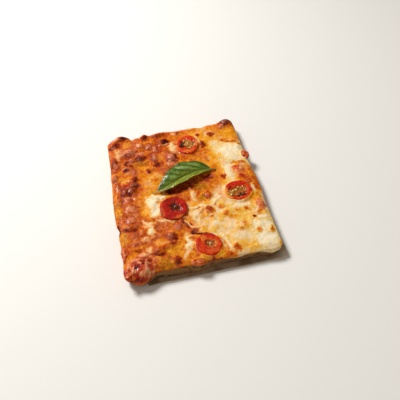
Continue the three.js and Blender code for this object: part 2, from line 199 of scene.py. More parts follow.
def ramp(tree, factor, stops):
    """A colour read off a row of stops, each its place and its colour as a screen shows it."""
    node = add(tree, "ShaderNodeValToRGB", {0: factor})
    elements = node.color_ramp.elements
    elements.remove(elements[1])
    elements[0].position = stops[0][0]
    elements[0].color = rgb(*stops[0][1:])
    for place, *colour in stops[1:]:
        elements.new(place).color = rgb(*colour)
    return node.outputs[0]


def mask_of(tree, name):
    """A mask that the piece's own mesh carries."""
    return add(tree, "ShaderNodeAttribute", attribute_name=name).outputs["Fac"]


def speckle(tree, place, size, detail=3.0, seed=0.0):
    """Noise from 0 to 1 with lumps of the given size in millimetres."""
    moved = add(tree, "ShaderNodeMapping", {"Vector": place, "Location": (seed, seed * 0.7, seed * 1.3)})
    inputs = {"Vector": moved.outputs[0], "Scale": 1.0 / (size * MM), "Detail": detail}
    return add(tree, "ShaderNodeTexNoise", inputs).outputs[0]


def bump(tree, height, depth, over=None):
    """Fine relief, as deep as the given millimetres, on its own or over other relief."""
    inputs = {"Height": height, "Distance": depth * MM}
    if over is not None:
        inputs["Normal"] = over
    return add(tree, "ShaderNodeBump", inputs).outputs[0]


def new_material(name):
    """An empty material: its tree, and the coordinates of the object it is on."""
    material = bpy.data.materials.new(name)
    material.use_nodes = True
    tree = material.node_tree
    tree.nodes.clear()
    return material, tree, add(tree, "ShaderNodeTexCoord").outputs["Object"]


def surface(tree, colour, roughness, relief=None, glow=None, shine=None):
    """Ends a material in one shader. glow: how much light goes in, its reach by colour, millimetres."""
    inputs = {"Base Color": colour, "Roughness": roughness, **(shine or {})}
    if relief is not None:
        inputs["Normal"] = relief
    if glow:
        inputs["Subsurface Weight"], inputs["Subsurface Radius"] = glow[:2]
        inputs["Subsurface Scale"] = glow[2] * MM
    shader = add(tree, "ShaderNodeBsdfPrincipled", inputs)
    add(tree, "ShaderNodeOutputMaterial", {"Surface": shader.outputs[0]})


def liner_paper():
    material, tree, place = new_material("greaseproof_paper")
    fibres = speckle(tree, place, 0.9, 6.0)
    fat = spread(tree, speckle(tree, place, 16.0, 2.0, 3.0), 0.46, 0.62)
    dry = blend(tree, fibres, rgb(170, 144, 116), rgb(200, 176, 148))
    colour = blend(tree, fat, dry, rgb(140, 110, 80))
    # Paler at the front right corner and along the curled free edges: painted light on the corner, which lies
    # in the slice's shadow, and a painted highlight along the edges
    colour = blend(tree, mask_of(tree, "bleached"), colour, rgb(244, 230, 210))
    crinkle = speckle(tree, place, 3.2, 4.0, 7.0)
    surface(tree, colour, varied(tree, fibres, 0.32, 0.5), bump(tree, crinkle, 0.25))
    return material


def lay_liner():
    rows, columns = LINER_GRID
    x, y = np.meshgrid(
        np.linspace(LINER["left"], LINER["right"], columns),
        np.linspace(LINER["front"], LINER["back"], rows),
    )
    from_front = clamp01(1.0 - (y - LINER["front"]) / LINER_CURL_WIDTH)
    from_right = clamp01(1.0 - (LINER["right"] - x) / LINER_CURL_WIDTH)
    wave = 0.75 + 0.25 * np.sin(x * 0.11 + y * 0.07)
    free = np.maximum(from_front, from_right)
    lift = LINER_CURL * wave * free**2
    lift = lift + LINER_CRINKLE * (1.0 + crumple(x, y, 9.0, 50)) * (0.35 + 0.65 * free)
    stray = LINER_CUT_STRAY * crumple(x, y, 6.0, 55)
    x = x + stray * (from_right > 0.9)
    y = y + stray * (from_front > 0.9)
    upper = np.stack([x, y, lift + LINER_THICKNESS], -1).reshape(-1, 3)
    lower = np.stack([x, y, lift], -1).reshape(-1, 3)
    # The pale corner and lip are painted light, not paler paper
    corner = hump(np.hypot(x - LINER["right"], y - LINER["front"]) / LINER_LIT_CORNER)
    lip = step(0.82, 1.0, free)
    masks = {"bleached": np.tile(np.maximum(0.8 * corner, 0.9 * lip).ravel(), 2)}
    faces = sheet_faces(rows, columns).tolist()
    piece = make_piece("liner", np.concatenate([upper, lower]), faces, masks)
    serve(piece, liner_paper(), "liner_paper", "paper_liner")


lay_liner()

# ------------------------------------------------------------------ dough base
# The bread under it all: a soft, open dough, pressed into an oiled tray and baked. Its front
# and right sides were cut with a wheel and show the crumb; the left and back sides and the
# underside baked brown against the tray.

FRONT_LEFT = (-68.3, -80.6)
FRONT_RIGHT = (64.0, -81.2)
BACK_RIGHT = (67.6, 85.6)
BACK_LEFT = (-64.2, 81.4)
WIDTH = FRONT_RIGHT[0] - FRONT_LEFT[0]
DEPTH = BACK_LEFT[1] - FRONT_LEFT[1]
CORNER_RADIUS = 4.0
FADE = {"out": 14.0, "up": 9.0, "hang": 7.0, "foot": 7.0}  # how far in from the edge each form reaches
DOUGH_BOTTOM = 0.7
DOUGH_TOP = 8.0

# Where an edge of the slice bulges or dips: place along the edge, half its length, and amounts
# (out: outwards, up: raised, hang: how far the cheese hangs down, foot: the dough's foot outwards)
EDGE_FORMS = {
    "left": [
        (-9, 50, {"out": 2.0}),
        (-34, 6, {"out": -1.6, "up": -0.4}),
        (-76, 12, {"out": 0.6, "hang": 3.5}),
        (30, 9, {"out": 0.6, "up": 0.3, "hang": 0.8}),
    ],
    "back": [
        (-51.5, 14, {"out": 2.4, "up": 4.4, "hang": 0.6}),
        (-40, 4, {"out": -2.0, "up": -1.0}),
        (-27, 6, {"out": 0.8, "up": 2.6}),
        (-10, 16, {"out": 1.6, "up": 0.8, "hang": 0.5}),
        (34, 8, {"out": -1.8, "up": -0.4}),
        (61, 11, {"out": 1.8, "up": 2.8, "hang": 0.8}),
    ],
    "right": [
        (-4, 34, {"out": 1.8, "hang": 1.0}),
        (-66, 14, {"out": 0.3, "hang": 2.4}),
        (70, 18, {"out": 0.4, "up": 0.5, "hang": 1.2}),
    ],
    "front": [
        (-57.5, 15, {"out": 5.2, "up": 0.8, "hang": 5.0}),
        (-20, 44, {"foot": 2.7}),
        (-8, 9, {"out": 1.2, "hang": 1.6}),
        (24, 10, {"out": 0.6, "hang": 1.2}),
        (55, 12, {"out": 1.6, "hang": 2.6}),
    ],
}
RIM_ACROSS = 252  # samples along the front, which the cheese's own grid shares
RIM_ALONG = 312
DOUGH_LEVELS = 26

# How far the two kinds of side stand out at these shares of the dough's height
SIDE_STATIONS = [0.0, 0.14, 0.42, 0.72, 1.0]
BAKED_SIDE = [-2.4, -0.7, 0.1, 0.2, -0.5]
CUT_SIDE = [-0.9, -0.4, -0.6, -0.5, -0.8]
BAKED_CRAGS = 0.18
CUT_CRAGS = 0.42

PORES = 520
PORE_DEPTH = 1.15
PORE_SMALLEST = 0.3
PORE_SPREAD = 2.6
PORE_FLATNESS = (0.4, 1.0)
PORE_ZONE = (1.5, 7.5)  # the heights between which their middles lie
PORE_SEED = 11


def seen_sides(u, v, x, y):
    """For each side: its name, how far away it is, where along it that is, and outwards."""
    return [
        ("left", u * WIDTH, y, (-1, 0)),
        ("right", (1 - u) * WIDTH, y, (1, 0)),
        ("front", v * DEPTH, x, (0, -1)),
        ("back", (1 - v) * DEPTH, x, (0, 1)),
    ]


def edge_form(side, away, along, kind):
    """What one kind of form on one side comes to at a place that far from the edge."""
    at_edge = 0.0
    for at, half, amounts in EDGE_FORMS[side]:
        if kind in amounts:
            at_edge = at_edge + amounts[kind] * smooth(clamp01(1 - np.abs(along - at) / half))
    return at_edge * smooth(clamp01(1 - away / FADE[kind]))


def all_sides(u, v, x, y, kind):
    """What one kind of form comes to from all four sides."""
    return sum(edge_form(side, away, along, kind) for side, away, along, _ in seen_sides(u, v, x, y))


def plan_point(u, v):
    """The place in plan of u, 0 left to 1 right, and v, 0 front to 1 back."""
    near_x, near_y = np.minimum(u, 1 - u) * WIDTH, np.minimum(v, 1 - v) * DEPTH
    p, q = clamp01(1 - near_x / CORNER_RADIUS), clamp01(1 - near_y / CORNER_RADIUS)
    corner = (p > 0) & (q > 0)
    inset_u = CORNER_RADIUS * (1 - p * np.sqrt(1 - q * q / 2)) / WIDTH
    inset_v = CORNER_RADIUS * (1 - q * np.sqrt(1 - p * p / 2)) / DEPTH
    uu = np.where(corner, np.where(u < 0.5, inset_u, 1 - inset_u), u)
    vv = np.where(corner, np.where(v < 0.5, inset_v, 1 - inset_v), v)
    x, y = [
        mix(mix(FRONT_LEFT[k], FRONT_RIGHT[k], uu), mix(BACK_LEFT[k], BACK_RIGHT[k], uu), vv)
        for k in (0, 1)
    ]
    moved_x, moved_y = x, y
    for side, away, along, (out_x, out_y) in seen_sides(u, v, x, y):
        out = edge_form(side, away, along, "out")
        moved_x, moved_y = moved_x + out_x * out, moved_y + out_y * out
    return moved_x, moved_y


def soften(ring, reach):
    """Each value of a closed ring averaged with its neighbours."""
    return sum(np.roll(ring, k) for k in range(-reach, reach + 1)) / (2 * reach + 1)


def walk_rim(across, along):
    """Samples anticlockwise round the slice from the front left corner."""
    i, j = np.arange(across) / across, np.arange(along) / along
    u = np.concatenate([i, np.ones(along), 1 - i, np.zeros(along)])
    v = np.concatenate([np.zeros(across), j, np.ones(across), 1 - j])
    x, y = plan_point(u, v)
    run_x, run_y = np.roll(x, -1) - np.roll(x, 1), np.roll(y, -1) - np.roll(y, 1)
    run = np.hypot(run_x, run_y)
    step_length = np.hypot(np.roll(x, -1) - x, np.roll(y, -1) - y)
    return {
        "u": u, "v": v, "x": x, "y": y,
        "nx": run_y / run, "ny": -run_x / run,
        "walked": np.cumsum(step_length) - step_length,
        "length": step_length.sum(),
        "hang": all_sides(u, v, x, y, "hang"),
        "foot": all_sides(u, v, x, y, "foot"),
        "cut": soften(((u == 1) | (v == 0)).astype(float), 4),
    }


def beside(rim, out, height):
    """Points at the given heights, out from the rim by the given amounts."""
    return np.stack([rim["x"] + rim["nx"] * out, rim["y"] + rim["ny"] * out, height], -1)


def ring_faces(count, rings):
    """Quads that join each ring of count points to the next, facing away from the middle."""
    a = np.arange(count)
    b = (a + 1) % count
    return np.concatenate([
        np.stack([a + r * count, b + r * count, b + (r + 1) * count, a + (r + 1) * count], -1)
        for r in range(rings - 1)
    ])


def open_stack(count, rings):
    """A stack of rings, closed flat at the bottom."""
    return [*ring_faces(count, rings).tolist(), list(range(count - 1, -1, -1))]


def stack_faces(count, rings):
    """A stack of rings, closed flat at the bottom and at the top."""
    return [*open_stack(count, rings), list(range((rings - 1) * count, rings * count))]


def baked_bread():
    material, tree, place = new_material("baked_bread")
    fine = speckle(tree, place, 0.7, 5.0)
    patches = speckle(tree, place, 9.0, 3.0, 2.0)
    # The crumb's colours are darker than plain bread crumb: its own tan with painted shade laid in, as the
    # cut front faces away from the lamp
    crumb = blend(tree, fine, rgb(132, 90, 44), rgb(176, 130, 76))
    crumb = blend(tree, mask_of(tree, "soaked"), crumb, rgb(150, 82, 34))
    # Darker in the pores: painted shade in the holes of the crumb
    crumb = blend(tree, times(tree, mask_of(tree, "pore"), 0.75), crumb, rgb(72, 42, 20))
    toasted = plus(tree, mask_of(tree, "toasted"), varied(tree, patches, -0.25, 0.25))
    toasted = plus(tree, toasted, varied(tree, fine, -0.1, 0.1))
    crust = ramp(tree, toasted, [
        (0.0, 236, 198, 138),
        (0.35, 222, 164, 88),
        (0.62, 188, 112, 48),
        (0.85, 128, 66, 28),
        (1.0, 74, 36, 18),
    ])
    colour = blend(tree, mask_of(tree, "crumb"), crust, crumb)
    roughness = varied(tree, fine, 0.62, 0.85)
    surface(tree, colour, roughness, bump(tree, fine, 0.22), (0.1, (1.0, 0.6, 0.3), 1.2))
    return material


def bake_dough():
    rim = walk_rim(RIM_ACROSS, RIM_ALONG)
    count = len(rim["x"])
    level = np.linspace(0.0, 1.0, DOUGH_LEVELS)[:, None]
    height = mix(DOUGH_BOTTOM, DOUGH_TOP, level) + np.zeros(count)
    baked_side = np.interp(level, SIDE_STATIONS, BAKED_SIDE)
    cut_side = np.interp(level, SIDE_STATIONS, CUT_SIDE)
    walked, cut = rim["walked"], rim["cut"]
    crags = crumple(walked, height * 2.2, 6.0, 5, 4)
    out = mix(baked_side, cut_side, cut) + rim["foot"] * (1 - level)
    out = out + crags * mix(BAKED_CRAGS, CUT_CRAGS, cut) * step(0.0, 0.05, level)
    pore = np.zeros_like(out)
    draw = np.random.default_rng(PORE_SEED)
    torn_x = walked + 0.9 * crumple(walked, height, 2.4, 36, 3)
    torn_z = height + 0.5 * crumple(walked, height, 1.8, 39, 3)
    for _ in range(PORES):
        at = draw.uniform(0, rim["length"])
        half = PORE_SMALLEST + PORE_SPREAD * draw.random() ** 3
        flat = draw.uniform(*PORE_FLATNESS) / (1 + 0.3 * half)
        middle = mix(*PORE_ZONE, draw.random() ** 1.3)
        away = np.hypot((torn_x - at) / half, (torn_z - middle) / (half * flat))
        pore = np.maximum(pore, np.sqrt(clamp01(1 - away**2)) * min(1.0, half))
    points = beside(rim, out - PORE_DEPTH * pore * cut, height)
    # Darker towards the bottom: the crust baked against the tray, with painted shade where the dough's foot
    # meets the liner
    bottom_crust_and_shade = 1 - step(0.02, 0.16, level)
    blotches = crumple(walked, height, 11.0, 31, 3)
    scorched = crumple(walked, height, 4.0, 34, 3)
    toasted = 0.56 - 0.16 * level + 0.2 * blotches + 0.14 * scorched + 0.45 * bottom_crust_and_shade
    masks = {
        "crumb": cut * (1 - bottom_crust_and_shade),
        # pore: also carries the painted shade in the pores
        "pore": pore * cut,
        "soaked": step(0.72, 1.0, level + 0.06 * blotches),
        "toasted": clamp01(toasted),
    }
    masks = {name: np.broadcast_to(values, height.shape) for name, values in masks.items()}
    piece = make_piece("dough", points.reshape(-1, 3), stack_faces(count, DOUGH_LEVELS), masks)
    serve(piece, baked_bread(), "baked_dough", "dough_base")


bake_dough()

# ------------------------------------------------------------------ tomato sauce
# Crushed tomato, oil and salt, spread on the dough before the cheese. Only its edge shows, a
# wet red line between the bread and the cheese that bulges and runs a little at the cuts.

SAUCE_BOTTOM = 7.9
SAUCE_TOP = 9.75
SAUCE_LEVELS = 9
SAUCE_SET_BACK = 0.9
SAUCE_LUMPS = 0.45
SAUCE_BULGE = 0.5


def cooked_sauce(name, dark, bright, oily):
    material, tree, place = new_material(name)
    pulp = speckle(tree, place, 1.3, 5.0)
    colour = blend(tree, spread(tree, pulp, 0.35, 0.65), dark, bright)
    oil = spread(tree, speckle(tree, place, 3.4, 4.0, 9.0), 0.5, 0.62)
    colour = blend(tree, plus(tree, mask_of(tree, "film"), oil), colour, oily)
    glow = (0.15, (1.0, 0.25, 0.1), 1.5)
    shine = {"Specular IOR Level": 0.25}
    surface(tree, colour, varied(tree, pulp, 0.26, 0.44), bump(tree, pulp, 0.3), glow, shine)
    return material


def spread_sauce():
    rim = walk_rim(RIM_ACROSS, RIM_ALONG)
    level = np.linspace(0.0, 1.0, SAUCE_LEVELS)[:, None]
    height = mix(SAUCE_BOTTOM, SAUCE_TOP, level) + np.zeros(len(rim["x"]))
    lumps = crumple(rim["walked"], height * 2.0, 4.5, 21, 3)
    out = -SAUCE_SET_BACK + SAUCE_LUMPS * lumps + SAUCE_BULGE * np.sin(math.pi * level)
    points = beside(rim, out, height)
    piece = make_piece("sauce", points.reshape(-1, 3), stack_faces(len(rim["x"]), SAUCE_LEVELS))
    material = cooked_sauce("cooked_sauce", rgb(138, 30, 10), rgb(196, 66, 22), rgb(206, 104, 36))
    serve(piece, material, "tomato_sauce", "tomato_sauce")


spread_sauce()

# ------------------------------------------------------------------ mozzarella
# Torn fresh mozzarella that melted into one sheet over the sauce and browned in a hot oven. It
# blistered and scorched most on the left and at the back, and stayed in white pools on the
# right and in front. It runs over the edges and grips the tomatoes that were pressed into it.

CHEESE_BOTTOM = 9.6
CHEESE_TOP = 12.7
SHOULDER_DROP = 1.5
SHOULDER_WIDTH = 5.0
GAP = 0.3  # left between the cheese and what lies in or under it
LIP = 0.5
LIP_PER_HANG = 0.12
GRIP_WIDTH = 1.6  # of the cheese drawn up round a tomato half
CHUNK_GRIP = 0.9
CHUNK_GRIP_WIDTH = 1.3
SWELLS = [(15, 0.35), (7, 0.3)]  # how wide and how high its own ups and downs are
WANDER = 0.9  # how far the outlines of patches and bubbles wander
FRAY = 0.34  # how frayed the edges of patches are
BIG_BUBBLE = 7.6
SMALL_BUBBLE = 3.6
BIG_BUBBLE_RISE = 0.36
SMALL_BUBBLE_RISE = 0.06
FOLD_RISE = 0.3
PUCKER_RISE = 0.35
WRINKLE_RISE = 1.1
# The pink on blister tops is browned skin with a painted sheen
PINK_TOPS = 0.42  # how pink the tops of well browned bubbles are
RED_BETWEEN = 0.3  # how red the cheese is between bubbles
# How much paler the cheese is along its raised folds: white strings in pale cheese, a painted highlight along
# the crests in browned cheese
FOLD_PALER = {"browned": 0.12, "pale": 0.05}
RIM_STEPS = 13

# Cherry tomato halves, cut face up: place, half-sizes, turn of the longer axis, lean of the
# cut face towards the front, height of the rim, and how high the cheese is drawn up round it
TOMATOES = [
    {"x": 13.8, "y": 57.4, "rx": 10.2, "ry": 14.6, "turn": -12, "lean": -2, "rim": 15.4, "grip": 1.2},
    {"x": -17.5, "y": -23.0, "rx": 12.2, "ry": 13.2, "turn": 0, "lean": 4, "rim": 16.2, "grip": 0.9},
    {"x": 45.1, "y": -15.2, "rx": 12.6, "ry": 12.5, "turn": 10, "lean": 2, "rim": 15.2, "grip": 1.7},
    {"x": 3.5, "y": -67.8, "rx": 11.1, "ry": 11.0, "turn": 0, "lean": 5, "rim": 15.2, "grip": 1.1},
]
TOMATO_DEPTH = 5.0

# Crushed tomato that shows at the edges: place of its middle, then its half-sizes, and how much
# cheese and oil lies on it as a film
CHUNKS = [
    (66.8, 31.5, 12.2, 4.0, 5.8, 2.2, 0.1),
    (60.0, -33.5, 12.9, 3.6, 5.6, 2.0, 0.75),
    (-67.0, -60.0, 12.0, 2.8, 6.6, 2.0, 0.25),
    (-66.8, -80.2, 12.2, 3.6, 5.6, 2.3, 0.0),
    (-8.4, -81.6, 11.6, 5.6, 2.6, 1.9, 0.3),
]

# Blisters of browned cheese: x, y, half-width, half-depth, height
BLISTERS = [
    (-62, 76, 9, 6, 1.2), (-27, 80, 6, 6, 1.8), (-12, 80, 8, 5, 1.4), (-9, 70, 8, 5, 1.6),
    (-34, 66, 6, 7, 1.8), (-45, 60, 9, 7, 2.0), (-62, 50, 5, 8, 1.6), (-46, 49, 7, 5, 2.2),
    (-36, 50, 7, 6, 1.5), (-22, 46, 6, 9, 1.7), (-6, 44, 7, 9, 2.0), (-52, 39, 6, 6, 1.2),
    (-31, 31, 6, 5, 1.1), (-64, 30, 5, 6, 1.2), (-47, 22, 6, 7, 1.7), (-49, 13, 8, 7, 2.4),
    (-56, 7, 7, 6, 1.9), (-55, -7, 8, 6, 1.4), (-57, -33, 10, 6, 1.8), (-48, -42, 5, 6, 1.2),
    (-25, -50, 7, 8, 1.8), (-14, -40, 5, 6, 1.3), (-38, -62, 10, 6, 1.8), (-25, -75, 7, 5, 1.4),
    (-56, -74, 13, 12, 2.8), (29, 57, 6, 6, 1.4), (41, 71, 7, 5, 1.2), (60, 81, 8, 8, 1.2),
    (54, 12, 7, 12, 1.3), (18, -12, 6, 7, 1.4), (13, -29, 8, 6, 1.2), (28, -37, 9, 5, 1.1),
    (36, -55, 8, 6, 1.1), (26, -73, 6, 6, 1.2),
]

# Smooth pools of white mozzarella: x, y, half-width, half-depth, height
POOLS = [
    (53, 38, 16, 15, 0.9), (42, 12, 8, 14, 0.5), (-35, -12, 9, 15, 0.9), (-40, -37, 8, 10, 0.6),
    (42, -58, 26, 24, 0.7), (14, -44, 18, 16, 0.5), (-13, -64, 6, 12, 0.5), (-58, 62, 7, 10, 0.6),
    (-2, 58, 5, 9, 0.4), (2, -28, 8, 9, 0.5),
]

# How browned the sheet is in broad stretches: x, y, reach, and 0 for white to 1 for black
BROAD_TONES = [
    (-56.5, 81, 10, 0.58), (-25.5, 74, 9, 0.6), (-12.5, 75, 9, 0.66), (-60.5, 47, 8, 0.66),
    (-6.5, 39, 7, 0.62), (-56.5, 32, 9, 0.54), (-62.5, 14, 8, 0.6), (-50.5, 9, 8, 0.7),
    (-34.5, 7, 7, 0.44), (-42.5, -11, 7, 0.48), (-52.5, -23, 9, 0.6), (-30.5, -43, 9, 0.64),
    (-14.5, -45, 8, 0.6), (-12.5, -77, 8, 0.54), (-52.5, -77, 10, 0.56), (5.5, 79, 9, 0.56),
    (21.5, 77, 8, 0.5), (35.5, 73, 8, 0.36), (45.5, 79, 8, 0.52), (59.5, 79, 7, 0.7),
    (59.5, 65, 9, 0.46), (23.5, 45, 7, 0.56), (33.5, 33, 7, 0.42), (32.5, 13, 6, 0.52),
    (11.5, 1, 9, 0.58), (51.5, 37, 12, 0.14), (43.5, 11, 6, 0.2), (56.5, 11, 6, 0.58),
    (61.5, -7, 5, 0.6), (59.5, -26, 5, 0.37), (11.5, -31, 8, 0.37), (25.5, -21, 8, 0.23),
    (29.5, -39, 9, 0.26), (9.5, -43, 8, 0.3), (37.5, -55, 7, 0.29), (25.5, -61, 9, 0.25),
    (53.5, -67, 12, 0.11), (35.5, -77, 9, 0.27), (11.5, -81, 8, 0.5), (55.5, -46, 6, 0.25),
]
